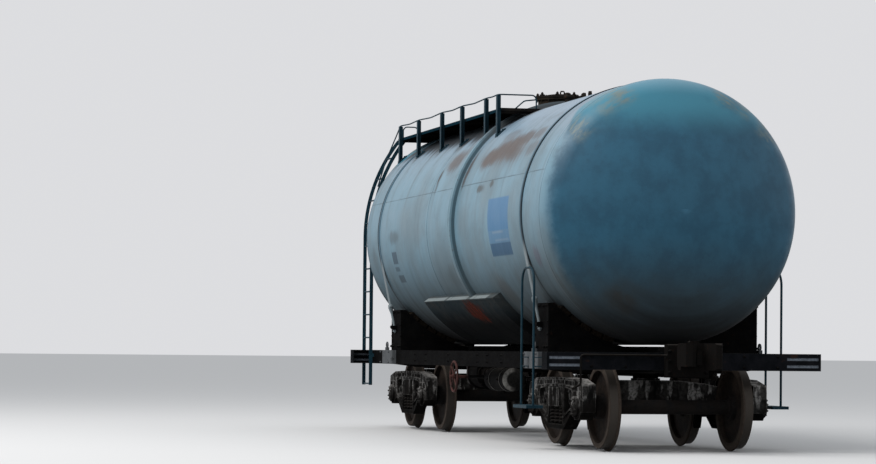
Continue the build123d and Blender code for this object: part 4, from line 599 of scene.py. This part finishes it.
def red_finish():
    """The hand wheel's faded red, over a black shaft and brackets."""
    s = Shade("red_paint")
    blotches = s.noise(12.0, 6.0, 0.68)
    colour = s.mix(s.ramp(blotches, 0.42, 0.62), paint(78, 50, 47), paint(58, 43, 41))
    colour = s.mix(s.ramp(blotches, 0.60, 0.72, 0.0, 0.8), colour, RUST_DARK)
    colour = s.mix(s.ramp(s.y, -1.40, -1.30), colour, BLACK)
    return s.finish(colour, 0.7, s.bump(blotches, 0.0008), specular=0.06)


def reservoir_finish():
    """Black air reservoir with pale dust and a painted highlight on its end facing +X, brightest in a band on
    the near side of its rim.
    """
    s = Shade("air_paint")
    blotches = s.noise(8.0, 6.0, 0.66)
    small = s.noise(30.0, 5.0, 0.68)
    colour = s.mix(s.ramp(blotches, 0.38, 0.64), BLACK, BLACK_DUSTY)
    across = s.less(s.y, RESERVOIR_Y)
    far_out = s.distance(across, s.less(s.z, RESERVOIR_Z))
    # Pale dust with a painted highlight, strongest in a band on the near side of the end's rim.
    highlight_crescent = s.times(s.between(far_out, 0.095, 0.150, 0.012), s.ramp(across, 0.03, -0.06))
    dusted = s.times(s.ramp(s.nx, 0.15, 0.65), s.ramp(small, 0.34, 0.60, 0.5, 1.0))
    colour = s.mix(s.times(dusted, s.plus(s.times(highlight_crescent, 0.9), 0.08)), colour, paint(150, 148, 144))
    colour = s.mix(s.ramp(s.nz, 0.3, 0.9, 0.0, 0.5), colour, DUST)
    return s.finish(colour, 0.80, s.bump(small, 0.001), specular=0.02)


# A finish for each material slot of the record, and for the nodes below that need their own
FINISHES = {
    "tank_paint": tank_finish(),
    "ring_paint": ring_finish(),
    "strap_steel": strap_finish(),
    "jacket_paint": jacket_finish(),
    "beam_paint": beam_finish(),
    "air_paint": reservoir_finish(),
    "deck_paint": deck_finish(),
    "timber": timber_finish(),
    "white_paint": plate_finish(),
    "bogie_cast": bogie_finish(),
    "wheel_steel": wheel_finish(),
    "red_paint": red_finish(),
}
# Columns: slot, base, worn, dust, rust, dusting, rusting, roughness
for steel in (
    ("frame_paint", BLACK, BLACK_DUSTY, DUST, RUST_DARK, 0.30, 0.30, 0.70),
    ("valve_iron", paint(30, 29, 27), paint(60, 52, 42), DUST, RUST, 0.25, 0.45, 0.7),
    ("hatch_iron", paint(30, 28, 27), paint(50, 45, 40), paint(74, 68, 62), RUST_DARK, 0.40, 0.5, 0.8),
    ("cast_steel", CAST, BLACK_DUSTY, DUST, RUST_DARK, 0.40, 0.5, 0.78),
    ("spring_steel", CAST, BLACK_DUSTY, DUST, RUST_DARK, 0.6, 0.4, 0.7),
):
    FINISHES[steel[0]] = steel_finish(*steel)
FINISHES["rail_paint"] = steel_finish(
    "rail_paint", TEAL, TEAL_WORN, paint(60, 78, 86), RUST_DARK, 0.30, 0.45, 0.55, edge=0.004, sheen=0.12)
NODE_FINISH = {
    "stiffening_ring": "ring_paint", "walkway_decks": "deck_paint", "deck_brackets": "deck_paint",
    "end_beams": "beam_paint", "air_reservoir": "air_paint", "uncoupling_levers": "cast_steel",
}


def dress_frame():
    """Give every CAD node the finish of its slot."""
    for part in frame["record"]["subparts"]:
        node = part["node"]
        finish = FINISHES[NODE_FINISH.get(node, part["material_slot"])]
        shown = frame["nodes"][node]
        for slot in shown.material_slots:
            slot.material = finish
        if not shown.material_slots:
            shown.data.materials.append(finish)


# Meshes for the small parts

FORE = (1, 0, 0)
AFT = (-1, 0, 0)
NEAR = (0, -1, 0)
UP = (0, 0, 1)
DOWN = (0, 0, -1)
SMOOTH_BELOW = radians(35.0)


def circle(middle, axis, radius, count, turn=0.0):
    """Points around a circle about an axis."""
    axis = Vector(axis).normalized()
    side = axis.orthogonal().normalized()
    other = axis.cross(side)
    angles = [2 * pi * i / count + turn for i in range(count)]
    return [Vector(middle) + (side * cos(a) + other * sin(a)) * radius for a in angles]


class Pile:
    """Faces of many small forms that become one mesh."""

    def __init__(self):
        self.points = []
        self.faces = []

    def add(self, points, faces):
        start = len(self.points)
        self.points.extend(Vector(p) for p in points)
        self.faces.extend(tuple(start + i for i in face) for face in faces)

    def add_rings(self, points, sides):
        """Walls between rings of points that follow each other, and a cap at both ends."""
        faces = []
        last = len(points) - sides
        for ring in range(0, last, sides):
            for i in range(sides):
                j = (i + 1) % sides
                faces.append((ring + i, ring + j, ring + sides + j, ring + sides + i))
        faces.append(tuple(reversed(range(sides))))
        faces.append(tuple(range(last, last + sides)))
        self.add(points, faces)

    def lathe(self, base, axis, profile, sides):
        """Turned form: profile is (height along the axis, radius) from the base outwards."""
        way = Vector(axis).normalized()
        points = []
        for height, radius in profile:
            points += circle(Vector(base) + way * height, axis, radius, sides)
        self.add_rings(points, sides)

    def bolt(self, base, axis, size):
        """Washer, hexagon head and the rounded end of its stud; size is the head's width."""
        half = size / 2
        way = Vector(axis).normalized()
        top = Vector(base) + way * size * 0.10
        crown = top + way * size * 0.58
        self.lathe(base, axis, [(0, half * 1.3), (size * 0.10, half * 1.3)], 12)
        self.lathe(top, axis, [(0, half * 1.12), (size * 0.50, half * 1.12), (size * 0.58, half * 0.92)], 6)
        self.lathe(crown, axis, [(0, half * 0.52), (size * 0.20, half * 0.52), (size * 0.26, half * 0.36)], 8)

    def bolt_circle(self, middle, axis, radius, count, size, turn=0.0):
        for spot in circle(middle, axis, radius, count, turn):
            self.bolt(spot, axis, size)

    def rivet(self, base, axis, size):
        half = size / 2
        dome = [(0, half), (half * 0.35, half * 0.92), (half * 0.62, half * 0.62), (half * 0.74, half * 0.2)]
        self.lathe(base, axis, dome, 10)

    def tube(self, points, radius, sides=8):
        """A round bar along a list of points; radius may be one value or one for each point."""
        line = [Vector(p) for p in points]
        radii = radius if isinstance(radius, (list, tuple)) else [radius] * len(line)
        rings = []
        across = None
        for i, p in enumerate(line):
            along = (line[min(i + 1, len(line) - 1)] - line[max(i - 1, 0)]).normalized()
            across = along.orthogonal() if across is None else across - along * across.dot(along)
            across.normalize()
            other = along.cross(across)
            for k in range(sides):
                a = 2 * pi * k / sides
                rings.append(p + (across * cos(a) + other * sin(a)) * radii[i])
        self.add_rings(rings, sides)

    def weld(self, spots, half_width, rise):
        """A low bead along spots, each a point on the surface with its normal."""
        section = ((-1.0, -0.4), (-0.6, 0.7), (0.0, 1.0), (0.6, 0.7), (1.0, -0.4))
        points = []
        last = len(spots) - 1
        for i, (p, normal) in enumerate(spots):
            along = spots[min(i + 1, last)][0] - spots[max(i - 1, 0)][0]
            side = along.cross(normal).normalized()
            for share, lift in section:
                points.append(p + side * half_width * share + normal * rise * lift)
        faces = []
        for start in range(0, last * 5, 5):
            for a in range(start, start + 4):
                faces.append((a, a + 1, a + 6, a + 5))
        faces.append((4, 3, 2, 1, 0))
        faces.append(tuple(range(last * 5, last * 5 + 5)))
        self.add(points, faces)

    def repeat(self, transform):
        """Add a transformed copy of all that is in the pile, its faces turned where it is mirrored."""
        order = -1 if transform.determinant() < 0 else 1
        start = len(self.points)
        self.faces += [tuple(start + i for i in face[::order]) for face in self.faces]
        self.points += [transform @ p for p in self.points]

    def across(self):
        self.repeat(Matrix.Scale(-1, 4, (0, 1, 0)))

    def along(self):
        self.repeat(Matrix.Scale(-1, 4, (1, 0, 0)))

    def half_turn(self):
        self.repeat(Matrix.Rotation(pi, 4, "Z"))

    def make(self, name, slot, body="car", finish=None, replaces=()):
        mesh = bpy.data.meshes.new(name)
        mesh.from_pydata([tuple(p) for p in self.points], [], self.faces)
        mesh.validate()
        mesh.materials.append(FINISHES[finish or slot])
        piece = place(name, mesh)
        mesh.shade_smooth()
        mesh.set_sharp_from_angle(angle=SMOOTH_BELOW)
        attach(piece, body)
        if replaces:
            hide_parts(*replaces)


def on_tank(x, angle, lift=0.0):
    """A point on the tank and its outward normal; the angle is as on the paint."""
    a = radians(angle)
    normal = Vector((0.0, -cos(a), sin(a)))
    return Vector((x, 0.0, TANK_Z)) + normal * (TANK_R + lift), normal


# Details

def tank_welds():
    """Weld beads on the tank and at both feet of the stiffening ring."""
    pile = Pile()
    bead, rise = 0.009, 0.003
    for x0, x1, angle in LONG_SEAMS:
        pile.weld([on_tank(x0 + (x1 - x0) * i / 24, angle) for i in range(25)], bead, rise)
    for x in RING_SEAMS:
        pile.weld([on_tank(x, 360.0 * i / 120) for i in range(121)], bead, rise)
    for x in (RING_X - RING_FOOT, RING_X + RING_FOOT):
        pile.weld([on_tank(x, -34.0 + 248.0 * i / 90) for i in range(91)], bead, rise * 2)
    pile.make("tank_welds", "tank_paint")


def jacket_seams():
    """Weld lines on the side jackets' faces and rivets along their ledges."""
    pile = Pile()
    for x in (-1.25, -0.62, 0.58, 1.22):
        pile.weld([on_tank(x, -37.0 - 29.5 * i / 12, JACKET_RISE) for i in range(13)], 0.007, 0.0025)
    pile.weld([on_tank(-1.86 + 3.72 * i / 30, -36.4, JACKET_RISE) for i in range(31)], 0.010, 0.003)
    for i in range(13):
        spot, normal = on_tank(-1.80 + 0.30 * i, -38.6, JACKET_RISE)
        pile.rivet(spot, normal, 0.020)
    pile.across()
    pile.make("jacket_seams", "jacket_paint")


def strap_ends():
    """Fork and pin where each strap meets its tension rod, and the nuts under the lug."""
    pile = Pile()
    leave = radians(12.0)
    mid = TANK_R + 0.0053
    start = Vector((BASE_HALF, -mid * cos(leave), TANK_Z - mid * sin(leave)))
    down = Vector((0.0, sin(leave), -cos(leave)))
    out = Vector((0.0, -cos(leave), -sin(leave)))
    aside = Vector(FORE)
    for offset in (-0.036, 0.036):
        cheek = start + down * 0.705 + aside * offset
        pile.lathe(cheek - out * 0.022, out, [(0, 0.016), (0.044, 0.016)], 8)
    pin = start + down * 0.690
    pile.tube([pin - aside * 0.058, pin + aside * 0.058], 0.013)
    for reach, way in ((0.052, FORE), (-0.052, AFT)):
        pile.lathe(pin + aside * reach, way, [(0, 0.019), (0.010, 0.019), (0.014, 0.014)], 6)
    pile.tube([start + down * reach for reach in (0.712, 0.745, 0.800)], [0.036, 0.030, 0.0182], 10)
    pile.bolt(start + down * 1.030 + Vector((0, 0, -0.002)), DOWN, 0.052)
    pile.across()
    pile.along()
    pile.make("strap_ends", "strap_steel")


def saddle_fixings():
    """Bolt rows on the saddles' outer plates and lugs, and welded gussets under their lips."""
    pile = Pile()
    for dx in (-0.27, -0.16, 0.16, 0.27):
        pile.bolt((BASE_HALF + dx, SADDLE_FACE_Y, 1.185), NEAR, 0.030)
    for dx in (-0.27, 0.27):
        for z in (1.33, 1.48):
            pile.rivet((BASE_HALF + dx, SADDLE_FACE_Y, z), NEAR, 0.030)
    top, low, out = 1.664, 1.630, SADDLE_FACE_Y - 0.010
    for dx in (-0.20, -0.10, 0.10, 0.20):
        x0, x1 = BASE_HALF + dx - 0.005, BASE_HALF + dx + 0.005
        gusset = [(x0, SADDLE_FACE_Y, top), (x1, SADDLE_FACE_Y, top), (x0, out, top), (x1, out, top),
                  (x0, SADDLE_FACE_Y, low), (x1, SADDLE_FACE_Y, low)]
        pile.add(gusset, [(0, 1, 3, 2), (0, 2, 4), (1, 5, 3), (2, 3, 5, 4), (0, 4, 5, 1)])
    pile.across()
    pile.along()
    pile.make("saddle_fixings", "frame_paint")


def walkway_treads():
    """Raised lozenges on the walkway plates, fewer where the ring and the strap pass."""
    pile = Pile()
    pitch = 0.062
    far, near = -5.000, 0.945
    long, wide, z = 0.017, 0.006, DECK_TOP
    for row in range(7):
        y = -0.985 + row * pitch
        for i in range(int((near - far) / pitch)):
            x = far + (i + 0.5 * (row % 2)) * pitch
            at_ring = abs(x - RING_X) < 0.10
            at_strap = abs(x + BASE_HALF) < 0.065
            if (at_ring or at_strap) and y > -0.80:
                continue
            lean = 1 if (i + row) % 2 else -1
            rim = [(x - long, y - lean * long * 0.7, z), (x + wide * 0.8, y - lean * wide, z),
                   (x + long, y + lean * long * 0.7, z), (x - wide * 0.8, y + lean * wide, z)]
            pile.add(rim + [(x, y, z + 0.003)], [(0, 1, 4), (1, 2, 4), (2, 3, 4), (3, 0, 4)])
    pile.across()
    pile.make("walkway_treads", "rail_paint", finish="deck_paint")


def post_bolts():
    """Bolts in the walkway posts' feet and at their tops, and the posts' rounded ends."""
    pile = Pile()
    for x in POST_X:
        for dx, out in ((0.016, 1.070), (0.072, 1.070), (0.072, 0.998)):
            angle = 180.0 / pi * Vector((1.0, 0.0)).angle(Vector((out, sqrt(TANK_R ** 2 - out ** 2))))
            spot, normal = on_tank(x + dx, angle, 0.0123)
            pile.bolt(spot, normal, 0.020)
        for z in (DECK_TOP - 0.020, DECK_TOP - 0.052):
            pile.bolt((x + 0.0035, -1.060, z), FORE, 0.018)
        pile.lathe((x + 0.004, -1.0515, DECK_TOP + 0.160), UP, [(0, 0.016), (0.010, 0.013)], 8)
    pile.across()
    pile.make("post_bolts", "rail_paint")


def ladder_rivets():
    """Flattened rung ends on the outer faces of the ladder stiles; no rung crosses the side sill."""
    pile = Pile()
    low, bend, radius, out = RAIL + 0.590, RAIL + 2.750, 2.325, 1.397
    rung_end = [(0, 0.014), (0.003, 0.013), (0.006, 0.008)]
    for i in range(11):
        run = 0.020 + i * 0.335
        y, z = out, low + run
        if run > bend - low:
            turn = (run - (bend - low)) / radius
            y, z = out - radius * (1 - cos(turn)), bend + radius * sin(turn)
        if SIDE_BOTTOM < z < SIDE_TOP:
            continue
        for x, way in ((-5.506, AFT), (-5.024, FORE)):
            pile.lathe((x, -y, z), way, rung_end, 10)
    pile.across()
    pile.make("ladder_rivets", "rail_paint")


def hatch_details():
    """Dogs, nuts and handle on the lid, which move with it, and bolts under the neck's flange."""
    top = HATCH_TOP + 0.0223
    lid = Pile()
    thick = Vector((0, 0, 0.018))
    for i in range(8):
        a = 2 * pi * (i + 0.5) / 8
        out = Vector((cos(a), sin(a), 0))
        side = Vector((-sin(a), cos(a), 0))
        middle = Vector((HATCH_X, 0, top))
        plan = ((0.262, -0.020), (0.262, 0.020), (0.318, -0.024), (0.318, 0.024))
        corners = [middle + out * reach + side * half for reach, half in plan]
        high = [c + thick for c in corners]
        lid.add(corners + high,
                [(0, 1, 3, 2), (4, 6, 7, 5), (0, 2, 6, 4), (1, 5, 7, 3), (0, 4, 5, 1), (2, 3, 7, 6)])
        lid.bolt(middle + out * 0.293 + thick, UP, 0.034)
    grip = ((0.20, 0.004), (0.20, 0.046), (0.17, 0.060), (0.05, 0.070), (0.02, 0.058), (0.02, 0.020))
    lid.tube([(HATCH_X + x, 0.0, top + z) for x, z in grip], 0.009, 10)
    cap = [(0, 0.044), (0.026, 0.044), (0.032, 0.036), (0.040, 0.020)]
    lid.lathe((HATCH_X, 0.10, top + 0.022), UP, cap, 16)
    lid.make("lid_dogs", "hatch_iron", "hatch_lid_body")

    neck = Pile()
    neck.bolt_circle((HATCH_X, 0, HATCH_TOP - 0.028), DOWN, 0.301, 16, 0.022)
    neck.make("neck_bolts", "valve_iron")


def valve_bolts():
    """Flange bolts of the crown's valves, and each valve's plug with its lever."""
    pile = Pile()
    crown = TANK_Z + TANK_R
    for x, y, radius, height in ((-0.640, 0.0, 0.078, 0.165), (0.830, -0.090, 0.070, 0.118),
                                 (0.830, 0.130, 0.048, 0.095)):
        pile.bolt_circle((x, y, crown + 0.0243), UP, radius * 0.85, 6, 0.014, pi / 6)
        top = crown + 0.0003 + height
        pile.lathe((x, y, top), UP, [(0, radius * 0.45), (0.012, radius * 0.45), (0.018, radius * 0.30)], 6)
        lever = [(x, y, top + 0.012), (x + 0.03, y - 0.02, top + 0.020), (x + 0.11, y - 0.05, top + 0.006)]
        pile.tube(lever, [0.006, 0.006, 0.005])
    pile.make("valve_bolts", "valve_iron")


def underframe_bolts():
    """Rivets of the side and centre sills, and bolts of the ends and the marking plates."""
    pile = Pile()
    side_face, sill_face, plate_face = -1.350, -0.181, -1.420
    for x in CROSS_X:
        for dx in (-0.030, 0.030):
            for z in (SIDE_BOTTOM + 0.060, SIDE_TOP - 0.050):
                pile.rivet((x + dx, side_face, z), NEAR, 0.026)
    for i in range(34):
        for z in (RAIL + 0.905, RAIL + 1.130):
            pile.rivet((-5.0 + i * 10.0 / 33, sill_face, z), NEAR, 0.028)
    pile.across()
    pile.make("sill_rivets", "frame_paint")

    ends = Pile()
    for y in (-0.215, 0.215):
        for z in (RAIL + 0.880, RAIL + 1.010, RAIL + 1.120):
            ends.bolt((END_BEAM_X + 0.095, y, z), FORE, 0.034)
    for y in (-1.10, -0.70, 0.70, 1.10):
        for z in (SIDE_BOTTOM + 0.035, SIDE_TOP - 0.035):
            ends.bolt((END_BEAM_X, y, z), FORE, 0.026)
    ends.half_turn()
    ends.make("end_bolts", "frame_paint")

    plates = Pile()
    for dx in (-0.265, 0.265):
        for z in (SIDE_BOTTOM + 0.025, SIDE_TOP - 0.025):
            plates.bolt((BASE_HALF + 0.060 + dx, plate_face, z), NEAR, 0.022)
    plates.across()
    plates.along()
    plates.make("plate_bolts", "white_paint")


def brake_fixings():
    """Bolts of the brake cylinder, outlet flanges, air distributor and reservoir bands."""
    pile = Pile()
    for x, way in ((-1.5, AFT), (-0.95, FORE)):
        pile.bolt_circle((x, CYLINDER_Y, CYLINDER_Z), way, 0.198, 10, 0.022)
        pile.lathe((x, CYLINDER_Y, CYLINDER_Z), way, [(0, 0.060), (0.012, 0.056), (0.016, 0.024)], 20)
    for z, way in ((RAIL + 0.784, DOWN), (RAIL + 0.834, UP)):
        pile.bolt_circle((0, 0, z), way, 0.134, 8, 0.024)
    for dx, way, radius in ((0.233, FORE, 0.056), (-0.198, AFT, 0.066)):
        pile.bolt_circle(Vector(VALVE_AT) + Vector((dx, 0, 0)), way, radius, 6, 0.016)
    for x in CROSS_X[3:5]:
        pile.bolt((x, RESERVOIR_Y - 0.153, RESERVOIR_Z), NEAR, 0.024)
        pile.bolt((x, RESERVOIR_Y + 0.153, RESERVOIR_Z), (0, 1, 0), 0.024)
    pile.bolt((1.4, RESERVOIR_Y, RESERVOIR_Z - 0.145), DOWN, 0.036)
    pile.make("brake_bolts", "cast_steel")

    nut = Pile()
    nut.bolt((0.545, -1.523, RAIL + 0.772), NEAR, 0.036)
    nut.make("hand_wheel_nut", "red_paint")


def axle_box_fixings():
    """Cover bolts and end cap of each roller bearing box, and bolts and rivets on the side frames."""
    cap = [(0, 0.062), (0.006, 0.062), (0.010, 0.056), (0.010, 0.024), (0.018, 0.022), (0.020, 0.014)]
    for label, centre in BOGIES:
        pile = Pile()
        for way in (-1, 1):
            middle = (centre + way * AXLE_OFFSET, COVER_FACE_Y, AXLE_Z)
            pile.bolt_circle(middle, NEAR, 0.092, 8, 0.022, pi / 8)
            pile.lathe(middle, NEAR, cap, 24)
            for side in (-1, 1):
                pile.bolt((middle[0] + side * 0.1865, FRAME_FACE_Y, AXLE_Z + 0.085), NEAR, 0.026)
        for x in (-0.331, 0.331):
            for z in (RAIL + 0.34, RAIL + 0.60):
                pile.rivet((centre + x, FRAME_FACE_Y, z), NEAR, 0.034)
        pile.across()
        pile.make(f"box_bolts_{label}", "bogie_cast", f"bogie_{label}")


def helix(middle, radius, wire, turns, hand=1):
    """Centre line of a coil spring whose end turns lie flat on the bogie's spring seats."""
    steps = int(turns * 24)
    rise = SPRING_TOP - SPRING_LOW - 2 * wire
    flat = 0.75 / turns
    points = []
    for i in range(steps + 1):
        t = i / steps
        eased = (t - flat / 2) / (1 - flat)
        if t < flat:
            eased = (t / flat) ** 2 * (flat / 2) / (1 - flat)
        elif t > 1 - flat:
            eased = 1 - ((1 - t) / flat) ** 2 * (flat / 2) / (1 - flat)
        a = 2 * pi * turns * t * hand
        x, y = middle[0] + radius * cos(a), middle[1] + radius * sin(a)
        points.append((x, y, SPRING_LOW + wire + rise * eased))
    return points


def bogie_springs():
    """Nested coil springs in place of the plain stacks of turns."""
    for label, centre in BOGIES:
        pile = Pile()
        for offset in (-0.192, 0.0, 0.192):
            middle = (centre + offset, -1.018)
            pile.tube(helix(middle, 0.071, 0.0145, 5.2), 0.0145, 10)
            pile.tube(helix(middle, 0.040, 0.0095, 7.2, hand=-1), 0.0095, 8)
        pile.across()
        pile.make(f"coil_springs_{label}", "spring_steel", f"bogie_{label}", replaces=[f"springs_{label}"])


# Floor, sky, lamp and camera

def shown_rays(nodes, links):
    """1 for the rays that show the background: straight, mirrored or through glass."""
    path = nodes.new("ShaderNodeLightPath")
    seen = path.outputs["Is Camera Ray"]
    for kind in ("Is Glossy Ray", "Is Transmission Ray"):
        either = nodes.new("ShaderNodeMath")
        either.operation = "MAXIMUM"
        links.new(seen, either.inputs[0])
        links.new(path.outputs[kind], either.inputs[1])
        seen = either.outputs[0]
    return seen


def lay_floor():
    """A plain pale floor that throws back less light than it shows."""
    half = 400.0
    corners = [(-half, -half, 0), (half, -half, 0), (half, half, 0), (-half, half, 0)]
    mesh = bpy.data.meshes.new("floor")
    mesh.from_pydata(corners, [], [(0, 1, 2, 3)])
    floor = place("floor", mesh)
    material = bpy.data.materials.new("floor")
    nodes, links = cleared_nodes(material)
    output = nodes.new("ShaderNodeOutputMaterial")
    diffuse = nodes.new("ShaderNodeBsdfDiffuse")
    shade = nodes.new("ShaderNodeMix")
    shade.data_type = "RGBA"
    links.new(shown_rays(nodes, links), shade.inputs["Factor"])
    shade.inputs[6].default_value = (0.22, 0.22, 0.22, 1.0)
    shade.inputs[7].default_value = (0.66, 0.66, 0.665, 1.0)
    links.new(shade.outputs[2], diffuse.inputs["Color"])
    links.new(diffuse.outputs[0], output.inputs["Surface"])
    mesh.materials.append(material)


def hang_sky():
    """A pale sky, with one strength for its light and one for how it shows."""
    world = bpy.data.worlds.new("sky")
    bpy.context.scene.world = world
    nodes, links = cleared_nodes(world)
    output = nodes.new("ShaderNodeOutputWorld")
    mixed = nodes.new("ShaderNodeMixShader")
    links.new(shown_rays(nodes, links), mixed.inputs[0])
    for socket, colour, strength in ((1, (0.95, 0.975, 1.0, 1.0), 0.72), (2, (0.72, 0.725, 0.745, 1.0), 1.0)):
        sky = nodes.new("ShaderNodeBackground")
        sky.inputs["Color"].default_value = colour
        sky.inputs["Strength"].default_value = strength
        links.new(sky.outputs[0], mixed.inputs[socket])
    links.new(mixed.outputs[0], output.inputs["Surface"])


def hang_lamp():
    """One broad soft lamp, high over the near side."""
    lamp = bpy.data.lights.new("soft_lamp", "AREA")
    lamp.shape = "RECTANGLE"
    lamp.size = 22.0
    lamp.size_y = 14.0
    lamp.energy = 4400.0
    lamp.color = (1.0, 0.985, 0.96)
    holder = place("soft_lamp", lamp)
    holder.location = (4.0, -16.0, 20.0)
    aim = Vector((0.0, 0.0, 2.0)) - holder.location
    holder.rotation_euler = aim.to_track_quat("-Z", "Y").to_euler()


def set_camera():
    """The photograph's camera, from its fitted place, angles and focal length."""
    data = bpy.data.cameras.new("camera")
    data.sensor_fit = "HORIZONTAL"
    data.sensor_width = SENSOR
    data.lens = FOCAL_PX / PHOTO_WIDTH * SENSOR
    data.shift_y = AXIS_DROP_PX / PHOTO_WIDTH
    data.clip_end = 1000.0
    ahead = Vector((-sin(CAMERA_YAW) * cos(CAMERA_PITCH), cos(CAMERA_YAW) * cos(CAMERA_PITCH),
                    sin(CAMERA_PITCH)))
    level = Vector((cos(CAMERA_YAW), sin(CAMERA_YAW), 0.0))
    up = level.cross(ahead)
    right = level * cos(CAMERA_ROLL) + up * sin(CAMERA_ROLL)
    above = up * cos(CAMERA_ROLL) - level * sin(CAMERA_ROLL)
    turn = Matrix((right, above, -ahead)).transposed().to_4x4()
    camera = place("camera", data)
    camera.matrix_world = Matrix.Translation(CAMERA_AT) @ turn
    bpy.context.scene.camera = camera


dress_frame()
tank_welds()
jacket_seams()
strap_ends()
saddle_fixings()
walkway_treads()
post_bolts()
ladder_rivets()
hatch_details()
valve_bolts()
underframe_bolts()
brake_fixings()
axle_box_fixings()
bogie_springs()
lay_floor()
hang_sky()
hang_lamp()
set_camera()
bpy.context.scene.view_settings.view_transform = "Standard"
